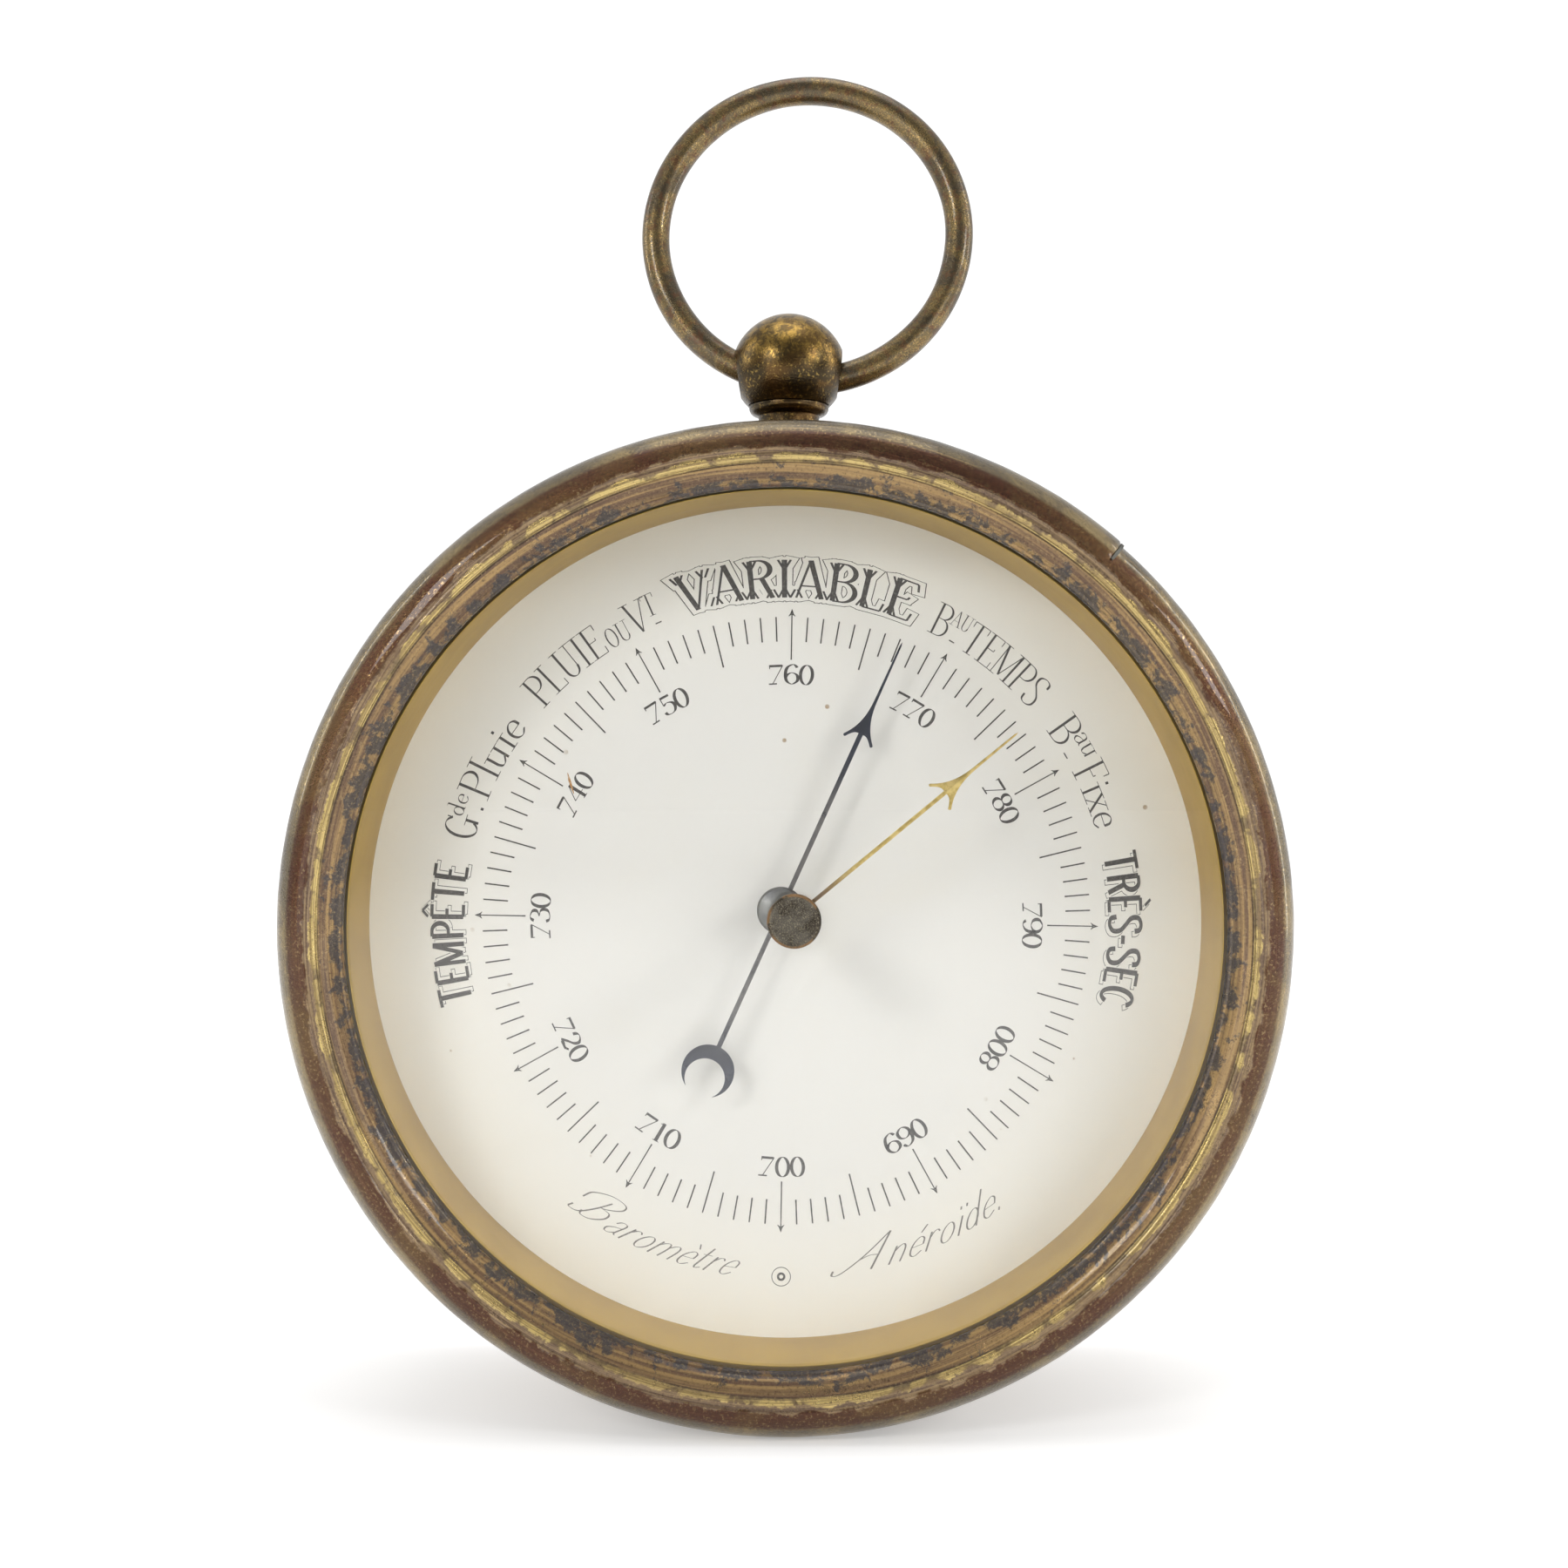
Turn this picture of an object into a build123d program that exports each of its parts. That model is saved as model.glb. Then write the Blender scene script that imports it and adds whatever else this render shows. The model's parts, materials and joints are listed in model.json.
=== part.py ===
"""Wall-hung aneroid barometer in a round brass case, as separate pieces.

Every piece is first drawn in the dial frame: x to the right and y up as one reads the dial,
z forward from the flat back of the case. At export each piece is turned into the part frame,
where +Z is up, the dial faces -Y, and the origin is the centre of the case back.
All sizes are in millimetres and all angles in degrees.
"""
import os
from math import asin, cos, pi, radians, sin

from build123d import *

# ---- case -------------------------------------------------------------------------------
CASE_RADIUS = 65.0            # widest point of the bezel's roll
DRUM_RADIUS = 61.5
DRUM_BORE = 60.3
DRUM_FRONT = 39.0             # depth of the drum's front edge
REAR_BEAD_RADIUS = 64.6
BACK_THICKNESS = 1.6
VENT_RADIUS = 1.0

# ---- bezel and glass --------------------------------------------------------------------
LIP_RADIUS = 56.2             # sight edge in front of the glass
LIP_DEPTH = 42.8
GLASS_SEAT_RADIUS = 58.0
GLASS_RADIUS = 57.9
GLASS_THICKNESS = 2.2
GLASS_BACK = LIP_DEPTH - GLASS_THICKNESS
SIGHT_RING_WALL = 0.7

# ---- dial -------------------------------------------------------------------------------
DIAL_FACE = 29.1              # depth of the printed face
CARD_THICKNESS = 0.4
DIAL_PLATE_THICKNESS = 1.0
DIAL_RADIUS = 57.0
DIAL_BACK = DIAL_FACE - CARD_THICKNESS - DIAL_PLATE_THICKNESS
ARBOR_HOLE_RADIUS = 2.2

# ---- hand axes: fitted by hand, so neither is quite on the case's centre line -----------
POINTER_AXIS = (-0.6, 1.7)
SETTING_AXIS = (1.1, 1.2)
POINTER_ANGLE = 24.4          # clockwise from upright, as the instrument stands
SETTING_ANGLE = 50.5

# ---- movement ---------------------------------------------------------------------------
BASE_BACK = 5.0
BASE_FRONT = 7.0
BASE_RADIUS = 54.0
CAPSULE_CENTRE = (-8.0, -16.0)
CAPSULE_RADIUS = 22.0
SHELL_THICKNESS = 0.4
POST_RADIUS = 2.0
PIN_DEPTH = 23.62             # knife-edge pin, just in front of the leaf spring
BRIDGE_TOP = 17.4
BRIDGE_THICKNESS = 1.8
LEAF_THICKNESS = 1.0
LEAF_WIDTH = 16.0
LEAF_BEND_X = -31.0           # where the leaf spring turns back on itself
LEAF_BEND_RADIUS = 2.3        # mean radius of that turn
LEVER_END_X = 34.0
LINK_TOP = 23.5               # depth of the pin between lever and link
ROCKER_AXIS = (30.0, 10.5)    # x and depth of the rocker shaft, which runs up the dial
CHAIN_DEPTH = 20.5
DRUM_OF_ARBOR = 0.8           # radius on which the chain winds
PIVOT_PLAY = 0.05
LINK_PLAY = 0.3               # the open pivot of the linkage
ADJUSTER_PLACE = (22.0, -16.0)
ADJUSTER_HOLE_RADIUS = 3.5

# ---- pendant and ring -------------------------------------------------------------------
PENDANT_X = 0.5
PENDANT_DEPTH = 22.0
BALL_RADIUS = 7.5
BALL_HEIGHT = 75.5
CROSS_BORE_RADIUS = 3.2
CROSS_BORE_MOUTH = 4.2        # both mouths are flared, so the ring can swing
CROSS_BORE_HEIGHT = 74.8      # the ring swings about the cross bore
RING_RADIUS = 21.06           # to the middle of the wire
RING_WIRE_RADIUS = 1.9
RING_CENTRE = (3.02, 94.63, 19.76)
RING_LEAN_BACK = 7.2
RING_YAW = 2.64               # its right side stands slightly forward


def outline(start, *steps):
    """Closed face. A step is a point for a straight edge or a (through, end) pair for an arc."""
    edges = []
    here = start
    for step in steps:
        if isinstance(step[0], tuple):
            through, end = step
            edges.append(ThreePointArc(here, through, end))
        else:
            end = step
            edges.append(Line(here, end))
        here = end
    if here != start:
        edges.append(Line(here, start))
    return make_face(edges)


def turned(face, centre=(0, 0)):
    """Solid of revolution about the depth axis; the face is drawn as (radius, depth)."""
    return Pos(*centre) * revolve(Plane.XZ * face, Axis.Z)


def disc(radius, back, front, centre=(0, 0)):
    """Cylinder along the depth axis."""
    return Pos(centre[0], centre[1], back) * Cylinder(radius, front - back, align=ON_BACK)


def tube(radius, bore, back, front, centre=(0, 0)):
    """Hollow cylinder along the depth axis."""
    return disc(radius, back, front, centre) - disc(bore, back, front, centre)


def along_y(radius, low, high, x, depth):
    """Cylinder that runs up the dial between two heights."""
    return Pos(x, (low + high) / 2, depth) * Cylinder(radius, high - low, rotation=(90, 0, 0))


def block(x, y, depth):
    """Box between pairs of limits in x, y and depth."""
    size = [pair[1] - pair[0] for pair in (x, y, depth)]
    return Pos(x[0], y[0], depth[0]) * Box(*size, align=(Align.MIN, Align.MIN, Align.MIN))


def around(radius, angles):
    """Points on a circle about the case's centre line."""
    return [(radius * cos(radians(angle)), radius * sin(radians(angle))) for angle in angles]


def group(solids):
    """Separate solids as one node."""
    return Part() + list(solids)


def screw(place, seat, tip, head_radius, head_height, shank_radius):
    """Slotted cheese-head screw. Its head stands off the seat, away from the tip."""
    outward = 1 if seat > tip else -1
    head_end = seat + outward * head_height
    slot_floor = seat + outward * 0.5 * head_height
    solid = disc(head_radius, min(seat, head_end), max(seat, head_end), place)
    solid += disc(shank_radius, min(seat, tip), max(seat, tip), place)
    slot = Box(0.25 * head_radius, 2 * head_radius, abs(head_end - slot_floor))
    return solid - Pos(place[0], place[1], (head_end + slot_floor) / 2) * slot


ON_BACK = (Align.CENTER, Align.CENTER, Align.MIN)
MOVEMENT_SCREW_PLACES = around(44.0, (90, 225, 315))
PILLAR_PLACES = around(49.0, (30, 150, 270))
BRIDGE_SCREW_PLACES = [(-38.0, -22.0), (-38.0, -10.0)]
LEAF_SCREW_PLACES = [(-20.0, -20.5), (-20.0, -11.5)]
LEVER_SCREW_PLACES = [(0.8, -16.0), (4.4, -16.0)]
BRACKET_SCREW_PLACES = [(27.6, -10.0), (27.6, -2.0)]
FRAME_POST_PLACES = [(-20.0, 13.0), (16.0, 13.0)]
VENT_PLACES = [(-28.0, 6.0), (-28.0, 0.0), (-28.0, -6.0)]


# ---- case -------------------------------------------------------------------------------
def case_drum():
    """Spun brass drum with a rolled bead at its rear edge."""
    wall = outline(
        (DRUM_BORE, 0), (62.9, 0), ((REAR_BEAD_RADIUS, 2.0), (62.9, 4.0)),
        ((62.0, 4.3), (DRUM_RADIUS, 5.0)), (DRUM_RADIUS, DRUM_FRONT), (DRUM_BORE, DRUM_FRONT),
    )
    return turned(wall) - along_y(2.0, 58, 64, PENDANT_X, PENDANT_DEPTH)


def case_back():
    """Flat back plate with the adjuster hole, the vents and the movement's screw holes."""
    plate = disc(DRUM_BORE, 0, BACK_THICKNESS)
    plate -= disc(ADJUSTER_HOLE_RADIUS, 0, BACK_THICKNESS, ADJUSTER_PLACE)
    for place in VENT_PLACES:
        plate -= disc(VENT_RADIUS, 0, BACK_THICKNESS, place)
    for place in MOVEMENT_SCREW_PLACES:
        plate -= movement_screw_blank(place)
    return plate


def movement_screw_blank(place):
    """Countersunk screw without its slot, flush with the back."""
    body = outline((0, 0), (2.9, 0), (1.5, 1.3), (1.5, BASE_FRONT), (0, BASE_FRONT))
    return turned(body, place)


def movement_screws():
    """Three flush screws that hold the movement to the case back."""
    slot = Box(5.6, 0.6, 0.7, align=ON_BACK)
    return group(movement_screw_blank(place) - Pos(*place) * Rot(0, 0, 25) * slot
                 for place in MOVEMENT_SCREW_PLACES)


def bezel():
    """Turned brass bezel: roll, groove, bright step, sloping band and lip."""
    section = outline(
        (DRUM_RADIUS, 32.5), (63.0, 32.5), (63.0, 36.1), (62.3, 36.4),
        ((CASE_RADIUS, 41.0), (61.96, 45.6)), ((61.6, 44.95), (61.2, 45.45)),
        ((60.75, 45.75), (60.25, 45.6)), (60.05, 45.2),
        ((58.6, 44.65), (57.0, 43.6)), ((56.4, 43.3), (LIP_RADIUS, LIP_DEPTH)),
        (GLASS_SEAT_RADIUS, LIP_DEPTH), (GLASS_SEAT_RADIUS, DRUM_FRONT), (DRUM_RADIUS, DRUM_FRONT),
    )
    return turned(section)


def glass():
    """Flat glass with a hole for the setting spindle."""
    edge = 0.3
    section = outline(
        (0, GLASS_BACK), (GLASS_RADIUS - edge, GLASS_BACK), (GLASS_RADIUS, GLASS_BACK + edge),
        (GLASS_RADIUS, LIP_DEPTH - edge), (GLASS_RADIUS - edge, LIP_DEPTH), (0, LIP_DEPTH),
    )
    return turned(section) - disc(1.58, GLASS_BACK, LIP_DEPTH, SETTING_AXIS)


def sight_ring():
    """Gilt ring between glass and dial, with a flange that stands against the glass."""
    section = outline(
        (55.6, DIAL_FACE), (55.6 + SIGHT_RING_WALL, DIAL_FACE), (56.7, 39.8),
        (GLASS_SEAT_RADIUS, 39.8), (GLASS_SEAT_RADIUS, GLASS_BACK), (56.0, GLASS_BACK),
    )
    return turned(section)


def glass_retaining_ring():
    """Split spring ring that holds the glass and the sight ring in the bezel."""
    ring = tube(GLASS_SEAT_RADIUS, 56.8, 39.1, 39.8)
    return ring - block((-3, 3), (-59, -55), (39, 40))


# ---- dial -------------------------------------------------------------------------------
def dial_card():
    """Printed card."""
    card = disc(DIAL_RADIUS, DIAL_FACE - CARD_THICKNESS, DIAL_FACE)
    return card - disc(ARBOR_HOLE_RADIUS, DIAL_BACK, DIAL_FACE, POINTER_AXIS)


def dial_plate():
    """Brass plate that backs the card."""
    plate = disc(DIAL_RADIUS, DIAL_BACK, DIAL_BACK + DIAL_PLATE_THICKNESS)
    return plate - disc(ARBOR_HOLE_RADIUS, DIAL_BACK, DIAL_FACE, POINTER_AXIS)


def dial_pillars():
    """Three posts between the base plate and the dial plate."""
    return group(disc(2.5, BASE_FRONT, DIAL_BACK, place) - disc(1.1, BASE_FRONT, 12.0, place)
                 for place in PILLAR_PLACES)


def dial_pillar_screws():
    """Screws from behind the base plate into the dial pillars."""
    return group(screw(place, BASE_BACK, 12.0, 2.3, 1.3, 1.1) for place in PILLAR_PLACES)


# ---- movement: base and capsule ---------------------------------------------------------
def base_plate():
    """Round plate that carries the whole movement."""
    plate = disc(BASE_RADIUS, BASE_BACK, BASE_FRONT)
    holes = [(place, 1.5) for place in MOVEMENT_SCREW_PLACES]
    holes += [(place, 1.1) for place in PILLAR_PLACES + FRAME_POST_PLACES]
    holes += [(place, 1.2) for place in BRIDGE_SCREW_PLACES]
    holes += [(place, 0.8) for place in BRACKET_SCREW_PLACES]
    holes += [(CAPSULE_CENTRE, POST_RADIUS), (ADJUSTER_PLACE, 1.5 + PIVOT_PLAY)]
    for place, radius in holes:
        plate -= disc(radius, BASE_BACK, BASE_FRONT, place)
    return plate


def movement_spacers():
    """Three tubes that hold the base plate off the case back."""
    return group(tube(3.2, 1.5, BACK_THICKNESS, BASE_BACK, place) for place in MOVEMENT_SCREW_PLACES)


def corrugated_shell(rim_depth, centre_depth):
    """Thin corrugated half of the vacuum capsule, from a flat rim to a flat centre."""
    rim, first_wave, centre_flat, waves = CAPSULE_RADIUS, 20.4, 4.4, 4
    steps = 4 * waves
    middle = [(rim, rim_depth)]
    for step in range(steps + 1):
        share = step / steps
        radius = first_wave + (centre_flat - first_wave) * share
        ripple = 0.45 * sin(2 * pi * waves * share)
        middle.append((radius, rim_depth + (centre_depth - rim_depth) * share + ripple))
    middle.append((0, centre_depth))
    half = SHELL_THICKNESS / 2
    front = [(radius, depth + half) for radius, depth in middle]
    back = [(radius, depth - half) for radius, depth in reversed(middle)]
    return turned(make_face(Polyline(front + back, close=True)), CAPSULE_CENTRE)


def capsule_rear_shell():
    """Rear half of the capsule, with its seat and the stud that goes through the base plate."""
    shell = corrugated_shell(10.4, 8.3)
    return shell + disc(4.0, BASE_FRONT, 8.3, CAPSULE_CENTRE) + disc(POST_RADIUS, 2.9, 7.5, CAPSULE_CENTRE)


def capsule_front_shell():
    """Front half of the capsule, which breathes with the air pressure."""
    return corrugated_shell(10.8, 12.9) + disc(3.5, 12.9, 14.2, CAPSULE_CENTRE)


def capsule_nut():
    """Hexagon nut on the capsule's stud."""
    nut = extrude(RegularPolygon(4.0, 6), 1.8)
    return Pos(*CAPSULE_CENTRE, 3.2) * nut - disc(POST_RADIUS, 3.0, BASE_BACK, CAPSULE_CENTRE)


def capsule_post():
    """Post that pulls on the mainspring through the knife-edge pin."""
    x, y = CAPSULE_CENTRE
    return disc(POST_RADIUS, 14.2, 24.8, CAPSULE_CENTRE) - along_y(0.62, y - 3, y + 3, x, PIN_DEPTH)


def knife_edge_pin():
    """Cross pin that rests on the mainspring's free end."""
    x, y = CAPSULE_CENTRE
    return along_y(0.6, y - 4, y + 4, x, PIN_DEPTH)


# ---- movement: spring, bridge and lever -------------------------------------------------
def spring_bridge():
    """Brass arch over the capsule; the adjusting screw bears in its right foot."""
    x, y = CAPSULE_CENTRE
    width = (y - 10, y + 10)
    arch = block((x - 26.5, x + 26.5), width, (BASE_FRONT, BRIDGE_TOP))
    arch -= block((x - 24, x + 24), (y - 11, y + 11), (BASE_FRONT, BRIDGE_TOP - BRIDGE_THICKNESS))
    arch += block((x - 34, x - 26.5), width, (BASE_FRONT, 10.0))
    arch += block((x + 26.5, x + 33.5), width, (BASE_FRONT, 10.0))
    arch -= disc(5.0, 15.0, 18.0, CAPSULE_CENTRE)
    arch -= disc(1.5 + PIVOT_PLAY, BASE_FRONT, 10.0, ADJUSTER_PLACE)
    for place in BRIDGE_SCREW_PLACES:
        arch -= disc(1.2, BASE_FRONT, 10.0, place)
    for place in LEAF_SCREW_PLACES:
        arch -= disc(0.9, 15.0, 18.0, place)
    return arch


def bridge_screws():
    """Screws through the bridge's left foot into the base plate."""
    return group(screw(place, 10.0, BASE_BACK, 2.2, 1.4, 1.2) for place in BRIDGE_SCREW_PLACES)


def mainspring():
    """Steel leaf bent back on itself; its front limb is pulled down by the capsule."""
    half = LEAF_THICKNESS / 2
    rear = BRIDGE_TOP + half
    front = rear + 2 * LEAF_BEND_RADIUS
    bend_depth = rear + LEAF_BEND_RADIUS
    outer = LEAF_BEND_RADIUS + half
    inner = LEAF_BEND_RADIUS - half
    section = outline(
        (-14.5, rear - half), (LEAF_BEND_X, rear - half),
        ((LEAF_BEND_X - outer, bend_depth), (LEAF_BEND_X, front + half)),
        (6.5, front + half), (6.5, front - half), (LEAF_BEND_X, front - half),
        ((LEAF_BEND_X - inner, bend_depth), (LEAF_BEND_X, rear + half)),
        (-14.5, rear + half),
    )
    y = CAPSULE_CENTRE[1]
    leaf = Pos(0, y + LEAF_WIDTH / 2, 0) * extrude(Plane.XZ * section, LEAF_WIDTH)
    leaf -= disc(POST_RADIUS + 0.6, 20.0, 24.0, CAPSULE_CENTRE)
    for place in LEAF_SCREW_PLACES:
        leaf -= disc(0.9, BRIDGE_TOP, 19.0, place)
    for place in LEVER_SCREW_PLACES:
        leaf -= disc(0.8, 21.0, 23.5, place)
    return leaf


def mainspring_screws():
    """Screws that clamp the leaf's rear limb to the bridge."""
    seat = BRIDGE_TOP + LEAF_THICKNESS
    return group(screw(place, seat, BRIDGE_TOP - BRIDGE_THICKNESS, 1.8, 1.1, 0.9)
                 for place in LEAF_SCREW_PLACES)


def main_lever():
    """Long arm on the leaf's free end, with an ear for the link at its far end."""
    y = CAPSULE_CENTRE[1]
    arm = make_face(Polyline((-1, y - 2.4), (6, y - 2.4), (LEVER_END_X + 1.4, y - 1.2),
                             (LEVER_END_X + 1.4, y + 1.2), (6, y + 2.4), (-1, y + 2.4), close=True))
    lever = Pos(0, 0, 23.0) * extrude(arm, 1.0)
    lever += block((LEVER_END_X - 1.4, LEVER_END_X + 1.4), (y - 1.2, y + 1.2), (22.6, 24.4))
    lever -= along_y(0.5, y - 2, y + 2, LEVER_END_X, LINK_TOP)
    for place in LEVER_SCREW_PLACES:
        lever -= disc(0.8, 22.0, 24.5, place)
    return lever


def lever_screws():
    """Screws that fix the lever to the leaf's free end."""
    return group(screw(place, 24.0, 22.0, 1.5, 0.9, 0.8) for place in LEVER_SCREW_PLACES)


def link_pin():
    """Pin between the lever's ear and the link."""
    return along_y(0.5, -17.2, -13.4, LEVER_END_X, LINK_TOP)


def link():
    """Flat link from the lever's ear down to the rocker's short arm."""
    low, high, bottom = -14.5, -13.7, ROCKER_AXIS[1]
    strip = block((LEVER_END_X - 0.7, LEVER_END_X + 0.7), (low, high), (bottom, LINK_TOP))
    for depth, play in ((LINK_TOP, PIVOT_PLAY), (bottom, LINK_PLAY)):
        strip += along_y(1.2, low, high, LEVER_END_X, depth)
        strip -= along_y(0.5 + play, low, high, LEVER_END_X, depth)
    return strip


# ---- movement: rocker, chain and arbor --------------------------------------------------
def rocker():
    """Shaft with a short arm for the link and a long arm for the chain."""
    x, depth = ROCKER_AXIS
    shaft = along_y(1.2, -19.6, 4.6, x, depth)
    shaft += block((x, LEVER_END_X + 1.1), (-16.5, -15.3), (depth - 0.9, depth + 0.9))
    shaft += along_y(0.5, -15.4, -12.8, LEVER_END_X, depth)
    shaft += block((x - 0.6, x + 0.6), (2.25, 3.05), (depth, CHAIN_DEPTH + 0.5))
    for low, high in ((-19.6, -18.2), (3.2, 4.6)):
        shaft -= along_y(0.5 + PIVOT_PLAY, low, high, x, depth)
    return shaft


def rocker_bracket():
    """Two-eared bracket for the rocker's pivot screws."""
    x, depth = ROCKER_AXIS
    bracket = block((26, 34), (-22, 7), (BASE_FRONT, 8.5))
    for low, high in ((-22, -20), (5, 7)):
        bracket += block((x - 2.5, x + 2.5), (low, high), (BASE_FRONT, depth + 2.5))
        bracket -= along_y(1.2, low, high, x, depth)
    for place in BRACKET_SCREW_PLACES:
        bracket -= disc(0.8, BASE_FRONT, 9.0, place)
    return bracket


def rocker_pivot_screws():
    """Screws whose pointed ends carry the rocker shaft."""
    x, depth = ROCKER_AXIS
    lower = along_y(1.2, -23, -20, x, depth) + along_y(0.5, -20, -18.6, x, depth)
    lower += along_y(1.9, -23.4, -22, x, depth)
    upper = along_y(1.2, 5, 8, x, depth) + along_y(0.5, 3.6, 5, x, depth)
    upper += along_y(1.9, 7, 8.4, x, depth)
    return group([lower, upper])


def rocker_bracket_screws():
    """Screws that fix the bracket to the base plate."""
    return group(screw(place, 8.5, BASE_BACK, 1.3, 0.7, 0.8) for place in BRACKET_SCREW_PLACES)


def chain():
    """Fine chain from the rocker's long arm to the arbor, drawn as its closed envelope."""
    low = POINTER_AXIS[1] + DRUM_OF_ARBOR
    return block((POINTER_AXIS[0], ROCKER_AXIS[0] - 0.6), (low, low + 0.3),
                 (CHAIN_DEPTH - 0.3, CHAIN_DEPTH + 0.3))


def pointer_arbor():
    """Arbor with its rear pivot, the chain drum's flanges and the hairspring collet."""
    arbor = disc(0.5, 14.6, 16.5, POINTER_AXIS) + disc(DRUM_OF_ARBOR, 16.4, 33.0, POINTER_AXIS)
    for back, front, radius in ((19.4, 19.8, 1.8), (21.2, 21.6, 1.8), (22.2, 23.2, 1.6)):
        arbor += disc(radius, back, front, POINTER_AXIS)
    return arbor


def hairspring():
    """Flat spiral that keeps the chain taut."""
    turns, per_turn, start, end, half = 4, 24, 1.68, 6.2, 0.08
    count = turns * per_turn
    inner = []
    outer = []
    for step in range(count + 1):
        angle = 2 * pi * step / per_turn
        radius = start + (end - start) * step / count
        inner.append(((radius - half) * cos(angle), (radius - half) * sin(angle)))
        outer.append(((radius + half) * cos(angle), (radius + half) * sin(angle)))
    strip = make_face(Polyline(inner + outer[::-1], close=True))
    return Pos(*POINTER_AXIS, 22.45) * extrude(strip, 0.5)


def hairspring_stud():
    """Stud under the front bar that holds the hairspring's outer end."""
    place = (POINTER_AXIS[0] + 6.88, POINTER_AXIS[1])
    return disc(0.6, 22.2, 24.0, place)


def arbor_bar(back, front, bore, width):
    """Cross bar on the two frame posts, with a tab that carries an arbor bearing."""
    (left, y), (right, _) = FRAME_POST_PLACES
    bar = block((left - 3, right + 3), (y - 3, y + 3), (back, front))
    tab_low = POINTER_AXIS[1]
    bar += block((POINTER_AXIS[0] - width, POINTER_AXIS[0] + width), (tab_low, y), (back, front))
    bar += disc(width, back, front, POINTER_AXIS)
    bar -= disc(bore, back, front, POINTER_AXIS)
    for place in FRAME_POST_PLACES:
        bar -= disc(1.1, back, front, place)
    return bar


def arbor_rear_bar():
    """Rear bearing of the arbor."""
    return arbor_bar(15.0, 16.2, 0.5 + PIVOT_PLAY, 2.6)


def arbor_front_bar():
    """Front bearing of the arbor, wide enough to carry the hairspring's stud."""
    return arbor_bar(24.0, 25.2, DRUM_OF_ARBOR + PIVOT_PLAY, 7.6)


def arbor_posts():
    """Two posts under the rear bar."""
    return group(tube(2.2, 1.1, BASE_FRONT, 15.0, place) for place in FRAME_POST_PLACES)


def arbor_spacers():
    """Two tubes between the rear and the front bar."""
    return group(tube(2.2, 1.1, 16.2, 24.0, place) for place in FRAME_POST_PLACES)


def arbor_screws():
    """Long screws through both bars and the posts into the base plate."""
    return group(screw(place, 25.2, BASE_BACK, 2.1, 1.3, 1.1) for place in FRAME_POST_PLACES)


# ---- hands ------------------------------------------------------------------------------
def hand_head(tip, barb, span, shaft_half_width):
    """Upper half of a hand: thin point, barbed arrow head and the top of the shaft."""
    neck = barb + 5.6
    notch = barb + 0.85
    edges = []
    for side in (1, -1):
        edges += [
            Line((0, tip), (side * 0.12, tip - 0.5)),
            Line((side * 0.12, tip - 0.5), (side * 0.2, neck)),
            Bezier((side * 0.2, neck), (side * 0.22, neck - 2.8), (side * 0.5 * span, barb + 1.2),
                   (side * span, barb)),
            ThreePointArc((side * span, barb), (side * (span - 0.02), barb - 0.25),
                          (side * (span - 0.28), barb - 0.3)),
            Bezier((side * (span - 0.28), barb - 0.3), (side * 0.55 * span, barb + 0.6),
                   (side * 0.35 * span, notch), (side * shaft_half_width, notch - 0.1)),
        ]
    edges.append(Line((shaft_half_width, notch - 0.1), (-shaft_half_width, notch - 0.1)))
    return make_face(edges)


def placed_hand(flat, axis, angle, back, thickness):
    """Flat hand outline, drawn upright about its own axis, set at its place and angle."""
    return Pos(axis[0], axis[1], back) * Rot(0, 0, -angle) * extrude(flat, thickness)


def pointer():
    """Blued-steel hand with an arrow head, a hub and a crescent tail."""
    shaft_half_width = 0.32
    crescent_distance, crescent_radius = 23.3, 3.5
    bite_distance, bite_radius = 24.36, 2.67
    flat = hand_head(38.9, 24.8, 2.07, shaft_half_width)
    shaft_length = 25.6 + crescent_distance - crescent_radius + 0.4
    flat += Pos(0, 25.6 - shaft_length / 2) * Rectangle(2 * shaft_half_width, shaft_length)
    flat += Pos(0, -crescent_distance) * Circle(crescent_radius) - Pos(0, -bite_distance) * Circle(bite_radius)
    flat += Circle(2.4)
    flat -= Circle(1.3)
    return placed_hand(flat, POINTER_AXIS, POINTER_ANGLE, 32.0, 0.4)


def pointer_boss():
    """Bright turned boss that holds the pointer on its arbor."""
    section = outline(
        (DRUM_OF_ARBOR, 30.3), (1.3, 30.3), (1.3, 32.4), (3.1, 32.4), (3.15, 32.7), (2.9, 33.2),
        ((1.7, 33.7), (0.4, 33.9)), (0, 33.9), (0, 33.0), (DRUM_OF_ARBOR, 33.0),
    )
    return turned(section, POINTER_AXIS)


def setting_hand():
    """Brass reading hand, set by the knob on the glass."""
    shaft_half_width = 0.26
    shaft_length = 25.3
    flat = hand_head(37.5, 24.55, 2.12, shaft_half_width)
    flat += Pos(0, shaft_length / 2) * Rectangle(2 * shaft_half_width, shaft_length)
    flat += Circle(2.0)
    flat -= Circle(1.0)
    return placed_hand(flat, SETTING_AXIS, SETTING_ANGLE, 38.2, 0.4)


def setting_collet():
    """Nut behind the glass that carries the setting hand."""
    return tube(2.3, 1.0, 38.6, GLASS_BACK - 0.05, SETTING_AXIS)


def setting_spindle():
    """Spindle through the glass, from the knob to the riveted hand."""
    section = outline((0, 37.9), (1.0, 37.9), (1.0, GLASS_BACK - 0.05), (1.5, GLASS_BACK - 0.05),
                      (1.5, 44.6), (0, 44.6))
    return turned(section, SETTING_AXIS)


def setting_washer():
    """Dished spring washer between the glass and the knob."""
    section = outline((1.5, 43.5), (1.5, 43.2), (3.0, LIP_DEPTH + 0.05), (3.0, 43.15))
    return turned(section, SETTING_AXIS)


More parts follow.
